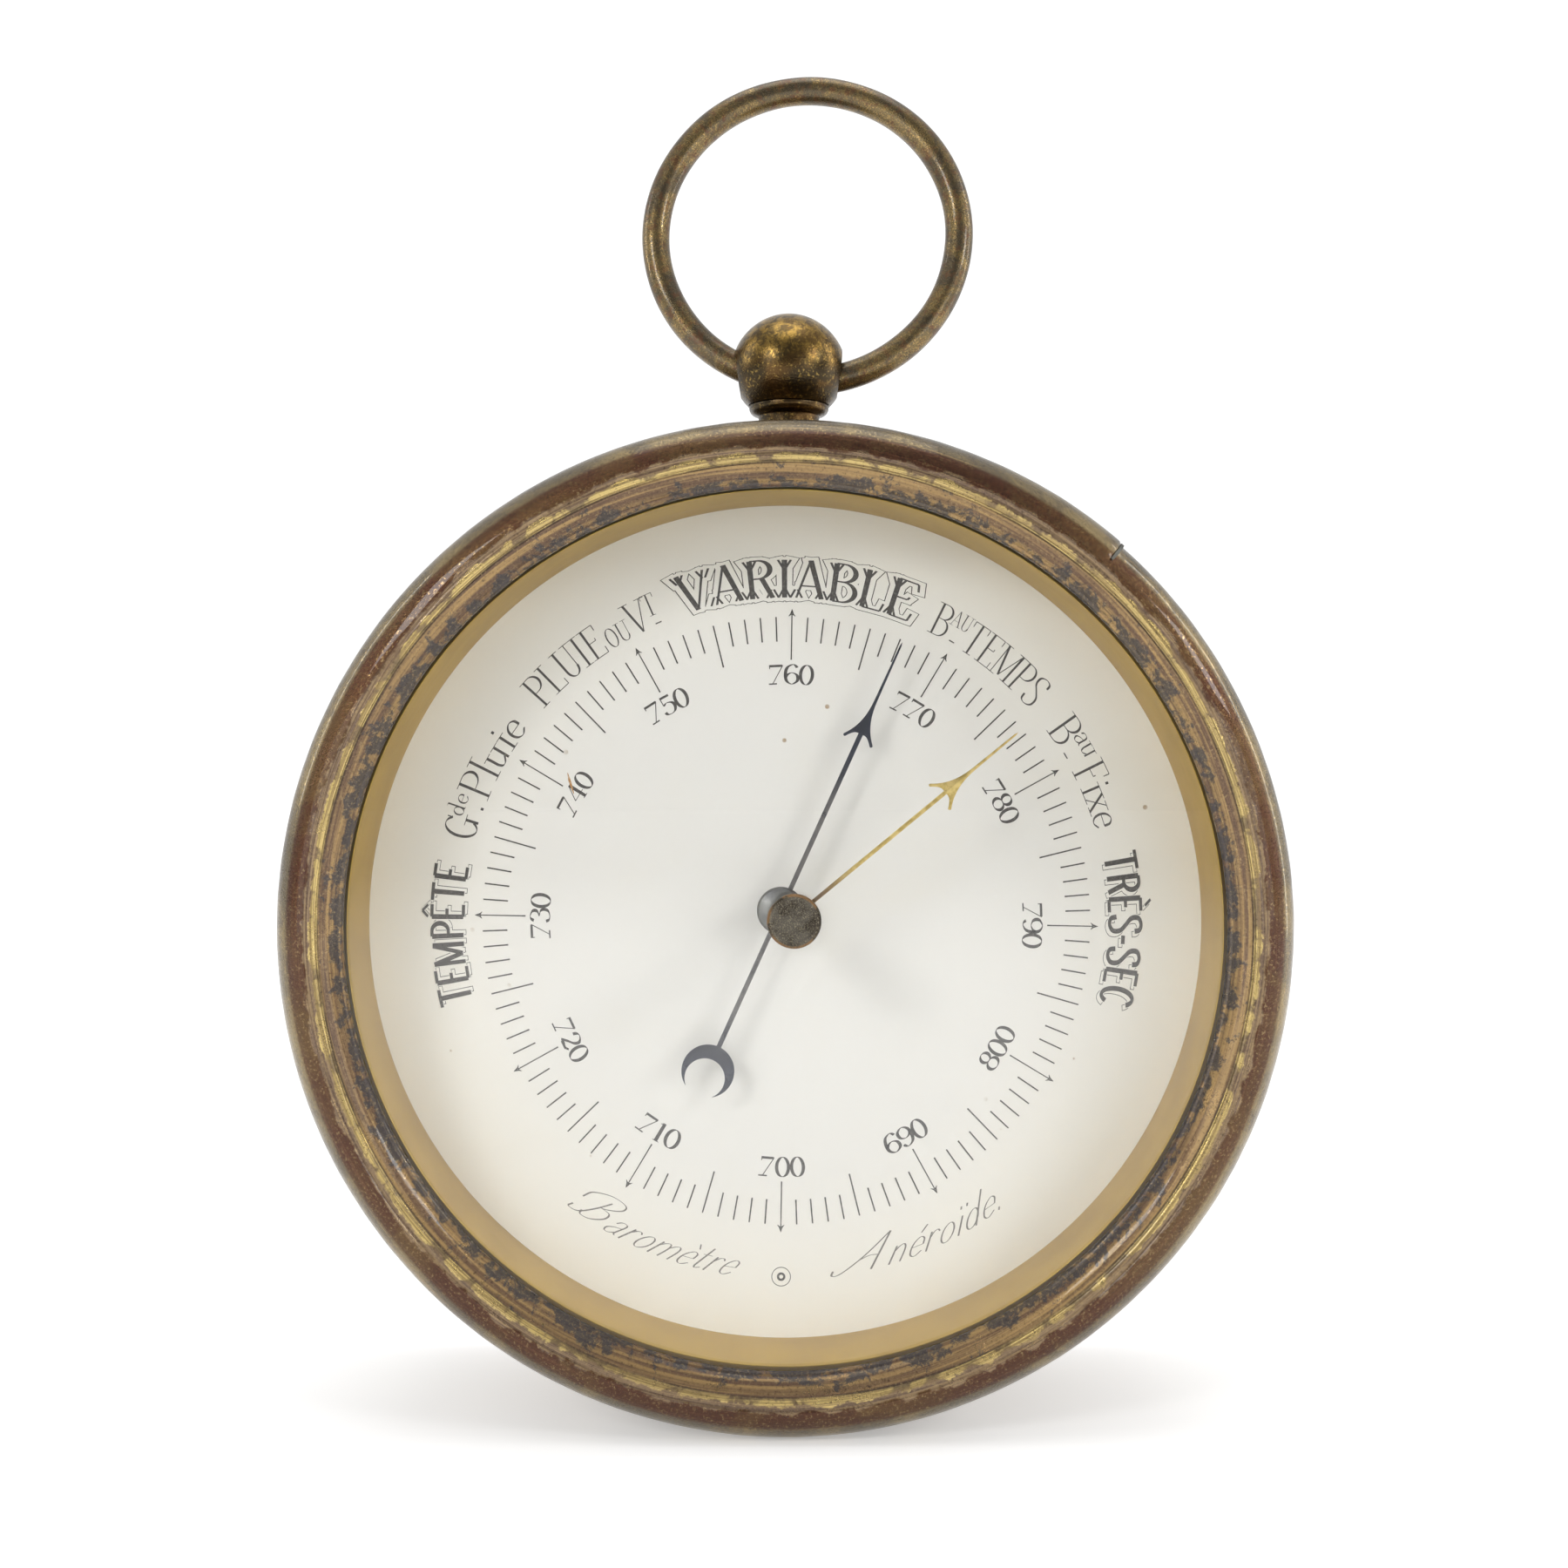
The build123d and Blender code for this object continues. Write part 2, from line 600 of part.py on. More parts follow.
def setting_knob():
    """Turned brass knob with a chamfered rim and a slightly sunk face."""
    section = outline(
        (0, 44.6), (1.5, 44.6), (1.5, 43.5), (1.9, 43.5), (1.9, 44.7), (3.1, 44.9),
        ((3.36, 45.3), (3.36, 46.5)), ((3.3, 47.0), (2.95, 47.1)), (2.75, 46.9), (0, 46.9),
    )
    return turned(section, SETTING_AXIS)


# ---- adjuster, pendant and ring ---------------------------------------------------------
def adjusting_screw():
    """Screw behind the adjuster hole; it tilts the spring bridge to set the reading."""
    return screw(ADJUSTER_PLACE, 4.5, 9.5, 2.6, 1.7, 1.5)


def pendant():
    """Turned ball, collar, neck and stud on top of the drum, cross-bored for the ring."""
    collar_top = 70.9
    ball_cut = asin((BALL_HEIGHT - collar_top) / BALL_RADIUS)
    waist = BALL_RADIUS * cos(ball_cut)
    section = outline(
        (0, 60.0), (6.0, 60.0), (6.0, 62.6), (5.2, 63.2),
        ((4.05, 66.2), (4.2, 68.9)), (4.9, 69.2), ((5.35, 69.9), (5.2, 70.6)), (waist, collar_top),
        ((BALL_RADIUS, BALL_HEIGHT), (0, BALL_HEIGHT + BALL_RADIUS)),
    )
    knob = Pos(PENDANT_X, 0, PENDANT_DEPTH) * revolve(section, Axis.Y)
    knob -= disc(DRUM_RADIUS, PENDANT_DEPTH - 8, PENDANT_DEPTH + 8)
    knob += along_y(2.0, 56.4, 62.0, PENDANT_X, PENDANT_DEPTH)
    cross_bore = Cylinder(CROSS_BORE_RADIUS, 20.0, rotation=(0, 90, 0))
    for side in (1, -1):
        flare = Cone(CROSS_BORE_RADIUS, CROSS_BORE_MOUTH, 3.0)
        cross_bore += Pos(side * 6.0, 0, 0) * Rot(0, side * 90, 0) * flare
    return knob - Pos(PENDANT_X, CROSS_BORE_HEIGHT, PENDANT_DEPTH) * cross_bore


def pendant_nut():
    """Hexagon nut on the pendant's stud, inside the drum."""
    hexagon = Rot(90, 0, 0) * extrude(RegularPolygon(4.2, 6), 2.0)
    return Pos(PENDANT_X, 59.6, PENDANT_DEPTH) * hexagon - along_y(2.0, 56, 61, PENDANT_X, PENDANT_DEPTH)


def hanging_ring():
    """Round wire ring, loose in the pendant's cross bore and leaning slightly back."""
    ring = Torus(RING_RADIUS, RING_WIRE_RADIUS)
    return Pos(*RING_CENTRE) * Rot(-RING_LEAN_BACK, -RING_YAW, 0) * ring


PIECES = [
    case_drum, case_back, movement_screws, bezel, glass, sight_ring, glass_retaining_ring,
    dial_card, dial_plate, dial_pillars, dial_pillar_screws,
    base_plate, movement_spacers, capsule_rear_shell, capsule_front_shell, capsule_nut,
    capsule_post, knife_edge_pin, spring_bridge, bridge_screws, mainspring, mainspring_screws,
    main_lever, lever_screws, link_pin, link, rocker, rocker_bracket, rocker_pivot_screws,
    rocker_bracket_screws, chain, pointer_arbor, hairspring, hairspring_stud, arbor_rear_bar,
    arbor_front_bar, arbor_posts, arbor_spacers, arbor_screws, pointer, pointer_boss,
    setting_hand, setting_collet, setting_spindle, setting_washer, setting_knob,
    adjusting_screw, pendant, pendant_nut, hanging_ring,
]

os.makedirs("parts", exist_ok=True)
for make_piece in PIECES:
    name = make_piece.__name__
    piece = Plane.XZ * make_piece()
    piece.label = name
    export_step(piece, f"parts/{name}.step")
    print(name, "volume", round(piece.volume, 2))
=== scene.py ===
import json
from functools import partial
from math import atan2, ceil, cos, degrees, pi, radians, sin, tau

import bmesh
import bpy
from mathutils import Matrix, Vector, noise


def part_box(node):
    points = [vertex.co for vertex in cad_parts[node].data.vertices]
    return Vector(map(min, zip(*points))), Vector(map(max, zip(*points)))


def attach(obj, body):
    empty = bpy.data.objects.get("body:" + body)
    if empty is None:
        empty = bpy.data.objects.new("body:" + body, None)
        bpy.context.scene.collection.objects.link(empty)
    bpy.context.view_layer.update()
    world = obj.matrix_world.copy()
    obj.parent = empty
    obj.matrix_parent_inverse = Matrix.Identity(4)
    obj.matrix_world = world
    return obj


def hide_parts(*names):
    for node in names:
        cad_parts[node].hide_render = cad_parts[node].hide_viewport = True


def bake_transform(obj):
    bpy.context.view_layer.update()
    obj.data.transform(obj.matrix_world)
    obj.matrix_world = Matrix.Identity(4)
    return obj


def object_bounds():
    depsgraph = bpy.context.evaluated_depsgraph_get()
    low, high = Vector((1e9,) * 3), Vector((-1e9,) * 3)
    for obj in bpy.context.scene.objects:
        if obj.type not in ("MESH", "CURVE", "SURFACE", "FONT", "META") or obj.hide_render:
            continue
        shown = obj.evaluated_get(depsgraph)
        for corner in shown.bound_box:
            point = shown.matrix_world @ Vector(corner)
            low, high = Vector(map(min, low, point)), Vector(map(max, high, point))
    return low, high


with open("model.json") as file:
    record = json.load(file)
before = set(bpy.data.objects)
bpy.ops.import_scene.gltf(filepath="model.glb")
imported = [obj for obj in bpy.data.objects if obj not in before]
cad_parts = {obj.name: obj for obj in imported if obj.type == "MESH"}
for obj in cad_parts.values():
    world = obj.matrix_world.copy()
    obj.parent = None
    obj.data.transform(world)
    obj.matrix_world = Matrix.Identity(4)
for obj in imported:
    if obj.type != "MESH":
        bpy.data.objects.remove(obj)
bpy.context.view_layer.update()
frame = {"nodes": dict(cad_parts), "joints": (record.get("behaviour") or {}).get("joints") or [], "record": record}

# An aneroid barometer: turned brass case, printed card dial, two hands, pendant ball and hanging ring.
# Shapes are drawn in the dial frame, in millimetres: x to the right, y up, depth forward of the flat back.

MM = 0.001
JOINTS = {joint["name"]: joint for joint in frame["joints"]}


def joint_axis(name):
    """Where a joint's axis meets the dial, in mm."""
    place = JOINTS[name]["pos_m"]
    return place[0] / MM, place[2] / MM


DIAL_FACE = -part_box("dial_card")[0].y / MM
POINTER_AXIS = joint_axis("pointer_turn")
SETTING_AXIS = joint_axis("setting_turn")
RING_PIVOT = JOINTS["ring_swing"]["pos_m"]
FLOOR_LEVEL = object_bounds()[0][2] - 0.00002

PRINT_CENTRE = (0.15, 0.13)       # the card sits a little off the case's centre
PRINT_TURN = 1.05                 # degrees clockwise
SEAM_START = -4.0                 # the rolled edge lifts from here, in degrees clockwise from the top
SEAM_END = 41.0                   # to here, where it is soldered
SEAM_LIFT = 0.4


# ---- geometry helpers ----

def at(x, y, depth):
    """A point of the dial frame as a row-frame point in metres."""
    return Vector((x, -depth, y)) * MM


def arc(start, middle, end, step=8):
    """Points after start along the circle through three points, about one every step degrees."""
    a, b = middle - start, end - start
    cross = 2 * (a.x * b.y - a.y * b.x)
    offset = Vector((b.y * a.dot(a) - a.y * b.dot(b), a.x * b.dot(b) - b.x * a.dot(a))) / cross
    centre = start + offset
    first = atan2(start.y - centre.y, start.x - centre.x)
    last = atan2(end.y - centre.y, end.x - centre.x)
    turn = (last - first) % tau
    if (atan2(middle.y - centre.y, middle.x - centre.x) - first) % tau > turn:
        turn -= tau
    count = max(3, ceil(abs(turn) / radians(step)))
    radius = offset.length
    angles = [first + turn * k / count for k in range(1, count)]
    return [centre + radius * Vector((cos(t), sin(t))) for t in angles] + [end]


def outline(start, *steps):
    """A chain of points: a step is the end of a straight, or the (middle, end) of an arc."""
    points = [Vector(start)]
    for step in steps:
        if isinstance(step[0], tuple):
            points += arc(points[-1], Vector(step[0]), Vector(step[1]))
        else:
            points.append(Vector(step))
    return points


def eased(points, radius, closed=True):
    """The same chain with every sharp corner turned into a small curve."""
    result = []
    for i, point in enumerate(points):
        into = point - points[i - 1]
        out = points[(i + 1) % len(points)] - point
        at_end = not closed and i in (0, len(points) - 1)
        if at_end or into.length == 0 or out.length == 0 or into.angle(out) < radians(20):
            result.append(point)
            continue
        before = point - into.normalized() * min(radius, into.length * 0.45)
        after = point + out.normalized() * min(radius, out.length * 0.45)
        for t in (0, 0.25, 0.5, 0.75, 1):
            result.append(before.lerp(point, t).lerp(point.lerp(after, t), t))
    return result


def divided(points, gap, closed=True):
    """The same chain with points put in wherever two are much more than gap apart."""
    result = []
    for here, there in zip(points, points[1:] + points[:1] if closed else points[1:]):
        steps = max(1, round((there - here).length / gap))
        result += [here.lerp(there, k / steps) for k in range(steps)]
    return result if closed else [*result, points[-1]]


def skin(mesh, rows, capped=False):
    """Covers the space from each row of corners to the next, and both ends of the tube if it is capped."""
    for one, other in zip(rows, rows[1:]):
        for k in range(len(one)):
            corners = dict.fromkeys((one[k - 1], one[k], other[k], other[k - 1]))
            if len(corners) > 2:
                mesh.faces.new(corners)
    if capped:
        mesh.faces.new(rows[0])
        mesh.faces.new(rows[-1][::-1])
    return mesh


def lathe(profile, axis=(0, 0), segments=256, closed=True, shape=None, to_row=at):
    """A solid turned about an axis: profile is (radius, height along the axis), round the section.
    shape(angle, radius, height) may change each point; to_row places (x, y, height) in the row frame."""
    mesh = bmesh.new()
    rings = []
    for radius, height in profile:
        if radius < 1e-6:
            rings.append([mesh.verts.new(to_row(axis[0], axis[1], height))] * segments)
            continue
        ring = []
        for k in range(segments):
            angle = tau * k / segments
            r, h = shape(angle, radius, height) if shape else (radius, height)
            ring.append(mesh.verts.new(to_row(axis[0] + r * sin(angle), axis[1] + r * cos(angle), h)))
        rings.append(ring)
    return skin(mesh, rings + rings[:1] if closed else rings)


def add_object(name, data):
    thing = bpy.data.objects.new(name, data)
    bpy.context.scene.collection.objects.link(thing)
    return thing


def mesh_object(name, mesh):
    data = bpy.data.meshes.new(name)
    mesh.to_mesh(data)
    mesh.free()
    return add_object(name, data)


def piece(name, mesh, slot, body, *nodes, material=None, sharp=32):
    """Makes a mesh a piece that stands for the named CAD nodes, which it hides. It rides on a body; when body is
    (first body, second body, where a bend would start, where it would end) the piece is fixed where it stands
    and does not bend. Its material is the slot's unless another is named."""
    bmesh.ops.recalc_face_normals(mesh, faces=mesh.faces)
    thing = mesh_object(name, mesh)
    thing.data.shade_smooth()
    thing.data.set_sharp_from_angle(angle=radians(sharp))
    thing.data.materials.append(MATERIALS[material or slot])
    if isinstance(body, str):
        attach(thing, body)
    else:
        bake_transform(thing)
    if nodes:
        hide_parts(*nodes)
    return thing


def wobble(x, y, z, seed):
    """Smooth noise from -1 to 1."""
    return noise.noise(Vector((x, y, z)) + Vector((seed, 0, 0)))


def around(angle, scale, other, seed):
    """Noise that has no seam round the case: scale is how many bumps across its width."""
    return wobble(scale * sin(angle), scale * cos(angle), other, seed)


# ---- materials ----

MATERIALS = {}


class Nodes:
    """A node tree being built. Each call adds a node and gives back its output."""

    def __init__(self, tree, coordinates="Object"):
        self.tree = tree
        self.place = self.add("TexCoord").outputs[coordinates]

    def add(self, kind, *values, **settings):
        """A node with settings, its inputs filled in order; None leaves an input as it is."""
        node = self.tree.nodes.new("ShaderNode" + kind)
        for key, value in settings.items():
            setattr(node, key, value)
        shown = [socket for socket in node.inputs if socket.enabled]
        for socket, value in zip(shown, values):
            self.fill(socket, value)
        return node

    def fill(self, socket, value):
        if isinstance(value, bpy.types.NodeSocket):
            self.tree.links.new(value, socket)
        elif value is not None:
            socket.default_value = (*value, 1) if socket.type == "RGBA" else value

    def span(self, value, low, high, first=0.0, last=1.0):
        """value carried smoothly from low..high to first..last, and held outside them."""
        return self.add("MapRange", value, low, high, first, last,
                        interpolation_type="SMOOTHSTEP").outputs[0]

    def math(self, operation, *values):
        return self.add("Math", *values, operation=operation).outputs[0]

    def vector(self, operation, *values):
        return self.add("VectorMath", *values, operation=operation).outputs[0]

    def length(self, vector):
        return self.add("VectorMath", vector, operation="LENGTH").outputs["Value"]

    def height(self, axis):
        """How far the place is along X, Y or Z."""
        return self.add("SeparateXYZ", self.place).outputs[axis]

    def camera_ray(self):
        return self.add("LightPath").outputs["Is Camera Ray"]


class Shader(Nodes):
    """A material being built, kept in MATERIALS under its name."""

    def __init__(self, name, **constants):
        material = bpy.data.materials.new(name)
        material.use_nodes = True
        super().__init__(material.node_tree)
        MATERIALS[name] = material
        self.surface = self.tree.nodes["Principled BSDF"]
        for socket, value in constants.items():
            self.set(socket.replace("_", " ").title().replace("Ior", "IOR"), value)

    def set(self, socket, value):
        self.fill(self.surface.inputs[socket], value)

    def finish(self, colour, roughness=None, normal=None):
        self.set("Base Color", colour)
        self.set("Roughness", roughness)
        self.set("Normal", normal)

    def noise(self, scale, detail=4.0, roughness=0.55, distortion=0.0, vector=None):
        """Noise from 0 to 1; scale is features per metre unless a vector of its own is given."""
        lacunarity = None
        return self.add("TexNoise", vector or self.place, scale, detail, roughness, lacunarity,
                        distortion).outputs["Fac"]

    def spots(self, scale):
        """Distance to the nearest of scattered points."""
        return self.add("TexVoronoi", self.place, scale).outputs["Distance"]

    def band(self, value, low, high, soft):
        """1 between low and high, fading to 0 over soft at each side."""
        rise = self.span(value, low - soft, low)
        fall = self.span(value, high, high + soft, 1.0, 0.0)
        return self.math("MULTIPLY", rise, fall)

    def mix(self, factor, one, other):
        """The colour one where factor is 0, other where it is 1."""
        return self.add("Mix", factor, one, other, data_type="RGBA").outputs[2]

    def fade(self, one, other, value, low, high, most=1.0):
        """The colour one where value is low, passing into as much as most of other where it is high."""
        return self.mix(self.span(value, low, high, 0.0, most), one, other)

    def from_axis(self, centre=(0, 0)):
        """The way from the depth axis through centre, in metres."""
        flat = self.vector("MULTIPLY", self.place, (1, 0, 1))
        return self.vector("SUBTRACT", flat, (centre[0] * MM, 0, centre[1] * MM))

    def radius(self, centre=(0, 0)):
        return self.length(self.from_axis(centre))

    def turned_marks(self, centre=(0, 0), fine=6000, coarse=1.5):
        """Noise drawn out round an axis, like the marks of a lathe tool or a polishing cloth."""
        away = self.from_axis(centre)
        depth = self.math("MULTIPLY", self.height("Y"), -1.0)
        along = self.vector("SCALE", self.vector("NORMALIZE", away), None)
        along.node.inputs["Scale"].default_value = coarse
        across = self.add("CombineXYZ", self.math("MULTIPLY", self.length(away), fine),
                          self.math("MULTIPLY", depth, fine), 0.0).outputs[0]
        return self.noise(1.0, 3.0, 0.6, 0.0, self.vector("ADD", along, across))

    def bump(self, height, distance, strength=1.0, under=None):
        """Relief: height from 0 to 1 stands for that distance in metres, over the relief under it."""
        node = self.add("Bump")
        node.inputs["Strength"].default_value = strength
        node.inputs["Distance"].default_value = distance
        self.fill(node.inputs["Height"], height)
        self.fill(node.inputs["Normal"], under)
        return node.outputs["Normal"]


OLD_GOLD = (0.36, 0.24, 0.105)
DARK_BROWN = (0.045, 0.030, 0.021)


def bezel_brass():
    """The turned bezel: banded by radius, with drawn-out streaks, grime in the hollows, gold on the edges."""
    s = Shader("bezel_brass", metallic=0.92, coat_weight=0.35, coat_roughness=0.06)
    flank_edge, groove_edge, step_edge, cove_edge = 0.0633, 0.061, 0.06, 0.0591
    radius = s.radius()
    streaks = s.turned_marks(fine=1500, coarse=2.2)
    hairs = s.turned_marks(fine=5200, coarse=5)
    clouds = s.noise(75, 5, 0.6, 0.8)
    blotches = s.noise(260, 5, 0.62, 0.4)
    specks = s.noise(2600, 4, 0.75)
    # the roll: olive outside, deep red brown on its inner flank
    roll = s.fade((0.125, 0.098, 0.058), (0.235, 0.175, 0.082), clouds, 0.4, 0.62)
    roll = s.fade(roll, (0.105, 0.078, 0.054), blotches, 0.52, 0.68, 0.6)
    roll = s.fade(roll, OLD_GOLD, streaks, 0.58, 0.7, 0.6)
    flank = s.fade((0.07, 0.027, 0.014), (0.105, 0.058, 0.022), clouds, 0.4, 0.66)
    flank = s.fade(flank, (0.14, 0.064, 0.032), hairs, 0.5, 0.66, 0.5)
    base = s.fade(roll, flank, radius, flank_edge, flank_edge - 0.0006)
    # a mauve brown groove beside the worn step
    ragged = s.math("ADD", radius, s.span(blotches, 0.3, 0.7, -0.0005, 0.0005))
    groove = s.fade((0.14, 0.092, 0.062), (0.27, 0.185, 0.1), hairs, 0.4, 0.6)
    base = s.fade(base, groove, ragged, groove_edge, groove_edge - 0.0004)
    # the step, gold where it is worn through
    step = s.fade((0.6, 0.45, 0.17), (0.31, 0.22, 0.09), hairs, 0.4, 0.56)
    step = s.fade(step, (0.15, 0.105, 0.062), blotches, 0.5, 0.6, 0.85)
    base = s.fade(base, step, ragged, step_edge, step_edge - 0.0003)
    # the cove: grey brown with streaks of worn brass, and blue grey grime that gathers at the lip
    cove = s.fade((0.125, 0.076, 0.048), (0.33, 0.215, 0.09), streaks, 0.4, 0.62)
    cove = s.fade(cove, (0.22, 0.135, 0.07), hairs, 0.5, 0.66, 0.6)
    grime = s.math("ADD", s.noise(420, 6, 0.68, 0.3), s.span(radius, 0.0584, 0.0566, -0.05, 0.1))
    cove = s.fade(cove, (0.052, 0.05, 0.053), grime, 0.53, 0.6, 0.85)
    base = s.fade(base, cove, radius, cove_edge, cove_edge - 0.0002)
    dark_line = s.math("MULTIPLY", s.band(radius, 0.05886, 0.05902, 0.00008),
                       s.span(clouds, 0.3, 0.6, 0.2, 0.8))
    base = s.mix(dark_line, base, DARK_BROWN)
    base = s.fade(base, (0.36, 0.26, 0.12), specks, 0.53, 0.68, 0.5)
    base = s.fade(base, DARK_BROWN, specks, 0.46, 0.3, 0.7)
    polish = s.span(radius, 0.0606, 0.0618, 1, 0.55)
    relief = s.bump(streaks, 0.00006, 0.5, s.bump(blotches, 0.00012, 0.3))
    s.finish(base, s.math("MULTIPLY", s.span(blotches, 0.35, 0.65, 0.24, 0.42), polish),
             s.bump(s.span(specks, 0.35, 0.62), 0.00004, 0.5, relief))


def sheet_brass(name, worn, tarnish, deep, gloss):
    """Broad plain brass: an even tarnish with soft clouds, turned marks, small stains and pitting."""
    s = Shader(name, metallic=0.92)
    clouds = s.noise(36, 8, 0.66, 0.2)
    mottles = s.noise(330, 7, 0.72, 0.2)
    marks = s.turned_marks(fine=1500, coarse=3)
    base = s.fade(worn, tarnish, clouds, 0.34, 0.68)
    base = s.fade(base, deep, mottles, 0.5, 0.7, 0.55)
    base = s.fade(base, worn, marks, 0.54, 0.72, 0.4)
    base = s.fade(base, deep, s.noise(2600, 3, 0.75), 0.58, 0.72, 0.55)
    rubbed = s.math("MULTIPLY", s.span(s.radius(), 0.0633, 0.0642), s.span(mottles, 0.4, 0.6, 0.1, 0.8))
    s.finish(s.mix(rubbed, base, OLD_GOLD), s.span(mottles, 0.35, 0.65, gloss, gloss + 0.16),
             s.bump(marks, 0.00003, 0.4, s.bump(mottles, 0.00006, 0.35)))


def ball_brass():
    """Dark brown ball, lighter gold over its upper half: mottled wear, and a painted sheen of the light from
    above.
    """
    s = Shader("pendant_brass", metallic=0.94)
    clouds = s.noise(130, 5, 0.6, 0.8)
    mottles = s.noise(620, 5, 0.7, 0.4)
    dark = s.fade((0.042, 0.031, 0.017), (0.088, 0.05, 0.019), clouds, 0.42, 0.6)
    # painted sheen: the upper half is made lighter gold where the light from above falls, broken into mottles like
    # rubbed wear
    upper = s.span(s.height("Z"), 0.0735, 0.0795)
    rubbed = s.math("MULTIPLY", upper, s.span(mottles, 0.42, 0.6, 0.2, 1))
    base = s.mix(rubbed, dark, (0.33, 0.205, 0.05))
    dents = s.bump(s.noise(3800, 3, 0.65), 0.00008, 0.5, s.bump(mottles, 0.00005, 0.3))
    s.finish(s.fade(base, (0.42, 0.28, 0.08), s.noise(2400, 3, 0.7), 0.54, 0.68, 0.5),
             s.span(mottles, 0.3, 0.7, 0.21, 0.15), dents)


def ring_brass():
    """Olive brown wire under old lacquer, with red brown patches and bright specks of worn brass."""
    s = Shader("ring_brass", metallic=0.92, coat_weight=0.35, coat_roughness=0.07)
    clouds = s.noise(230, 6, 0.65, 0.8)
    patches = s.noise(900, 5, 0.65, 0.3)
    specks = s.noise(4600, 3, 0.7)
    base = s.fade((0.15, 0.108, 0.046), (0.085, 0.066, 0.04), clouds, 0.4, 0.6)
    base = s.fade(base, (0.11, 0.052, 0.026), patches, 0.5, 0.64, 0.85)
    worn = s.math("MULTIPLY", s.span(specks, 0.5, 0.64), s.span(clouds, 0.58, 0.42, 0.15, 0.8))
    s.finish(s.mix(worn, base, (0.38, 0.245, 0.085)), s.span(patches, 0.3, 0.7, 0.2, 0.36),
             s.bump(s.span(specks, 0.3, 0.6), 0.00003, 0.5, s.bump(patches, 0.00008, 0.35)))


def knob_brass():
    """Olive brown, sparkling with small worn specks, and rubbed to red gold round its rim."""
    s = Shader("knob_brass", metallic=0.9)
    clouds = s.noise(420, 4, 0.6)
    specks = s.noise(5200, 3, 0.8)
    base = s.fade((0.052, 0.043, 0.034), (0.11, 0.098, 0.08), clouds, 0.4, 0.62)
    base = s.fade(base, (0.28, 0.245, 0.165), specks, 0.5, 0.66, 0.8)
    edge = s.span(s.radius(SETTING_AXIS), 0.003, 0.00325)
    rim = s.math("MULTIPLY", edge, s.span(clouds, 0.45, 0.56, 0, 0.7))
    s.finish(s.mix(rim, base, (0.34, 0.185, 0.075)), s.span(clouds, 0.3, 0.7, 0.3, 0.5),
             s.bump(specks, 0.00005, 0.5))


def gilt_brass():
    """The satin gilt wall between glass and dial."""
    s = Shader("gilt_brass", metallic=0.85)
    marks = s.turned_marks(fine=9000, coarse=1.2)
    base = s.fade((0.53, 0.35, 0.064), (0.44, 0.28, 0.052), s.noise(120, 4, 0.6), 0.35, 0.7, 0.8)
    s.finish(s.fade(base, (0.62, 0.43, 0.105), marks, 0.45, 0.75, 0.3), s.span(marks, 0.3, 0.7, 0.34, 0.46),
             s.bump(marks, 0.000006, 0.5))


def card():
    """Off-white card: faint fibres, lighter and yellower towards the edge, a few stains and foxing specks. The
    lighter edge is painted light against the wall's shade.
    """
    s = Shader("dial_card", roughness=0.62, specular_ior_level=0.25)
    fibres = s.noise(2600, 3, 0.7)
    # lighter and yellower towards the edge: some yellowing, and painted light that offsets the shade the gilt wall
    # casts on the rim of the dial
    base = s.fade((0.752, 0.738, 0.706), (0.85, 0.83, 0.76), s.radius(), 0.03, 0.057, 0.85)
    base = s.fade(base, (0.72, 0.67, 0.55), s.noise(28, 4, 0.55, 0.6), 0.52, 0.78, 0.3)
    base = s.fade(base, (0.64, 0.61, 0.54), fibres, 0.35, 0.75, 0.1)
    foxing = s.math("MULTIPLY", s.span(s.spots(190), 0.075, 0.045), s.span(s.noise(60), 0.56, 0.66))
    s.finish(s.mix(foxing, base, (0.36, 0.25, 0.14)), normal=s.bump(fibres, 0.000012, 0.5))


def ink(name, colour, faded):
    """Printer's ink, thinner in places."""
    s = Shader(name, roughness=0.55, specular_ior_level=0.2)
    s.finish(s.fade(colour, faded, s.noise(2400, 3, 0.6), 0.48, 0.72, 0.8))


def blued_steel():
    """Blue-black at the tip and tail, worn to a speckled grey towards the hub."""
    s = Shader("blued_steel", metallic=0.9)
    clouds = s.noise(520, 4, 0.6)
    scratches = s.noise(4200, 3, 0.7)
    near_hub = s.span(s.radius(POINTER_AXIS), 0.023, 0.012)
    worn = s.math("MULTIPLY", near_hub, s.span(clouds, 0.3, 0.6, 0.5, 1))
    base = s.mix(worn, (0.045, 0.048, 0.064), (0.19, 0.178, 0.17))
    s.finish(s.fade(base, (0.25, 0.24, 0.25), scratches, 0.6, 0.72, 0.5),
             s.span(clouds, 0.3, 0.7, 0.26, 0.42), s.bump(scratches, 0.000006, 0.6))


def bright_steel():
    """The turned cap over the pointer's hub, dulled to grey."""
    s = Shader("bright_steel", metallic=1)
    marks = s.turned_marks(POINTER_AXIS, fine=9000, coarse=0.8)
    clouds = s.noise(500, 4, 0.6)
    s.finish(s.fade((0.195, 0.195, 0.185), (0.125, 0.125, 0.128), clouds, 0.4, 0.7),
             s.span(clouds, 0.3, 0.7, 0.38, 0.5), s.bump(marks, 0.000004, 0.5))


def setting_brass():
    """The olive gold of the setting hand, redder and darker near its hub."""
    s = Shader("setting_brass", metallic=0.9)
    grain = s.noise(900, 4, 0.65)
    base = s.fade((0.46, 0.335, 0.095), (0.68, 0.52, 0.2), grain, 0.38, 0.62)
    s.finish(s.fade(base, (0.16, 0.085, 0.045), s.radius(SETTING_AXIS), 0.012, 0.004, 0.85),
             s.span(grain, 0.3, 0.7, 0.3, 0.44), s.bump(grain, 0.00002, 0.5))


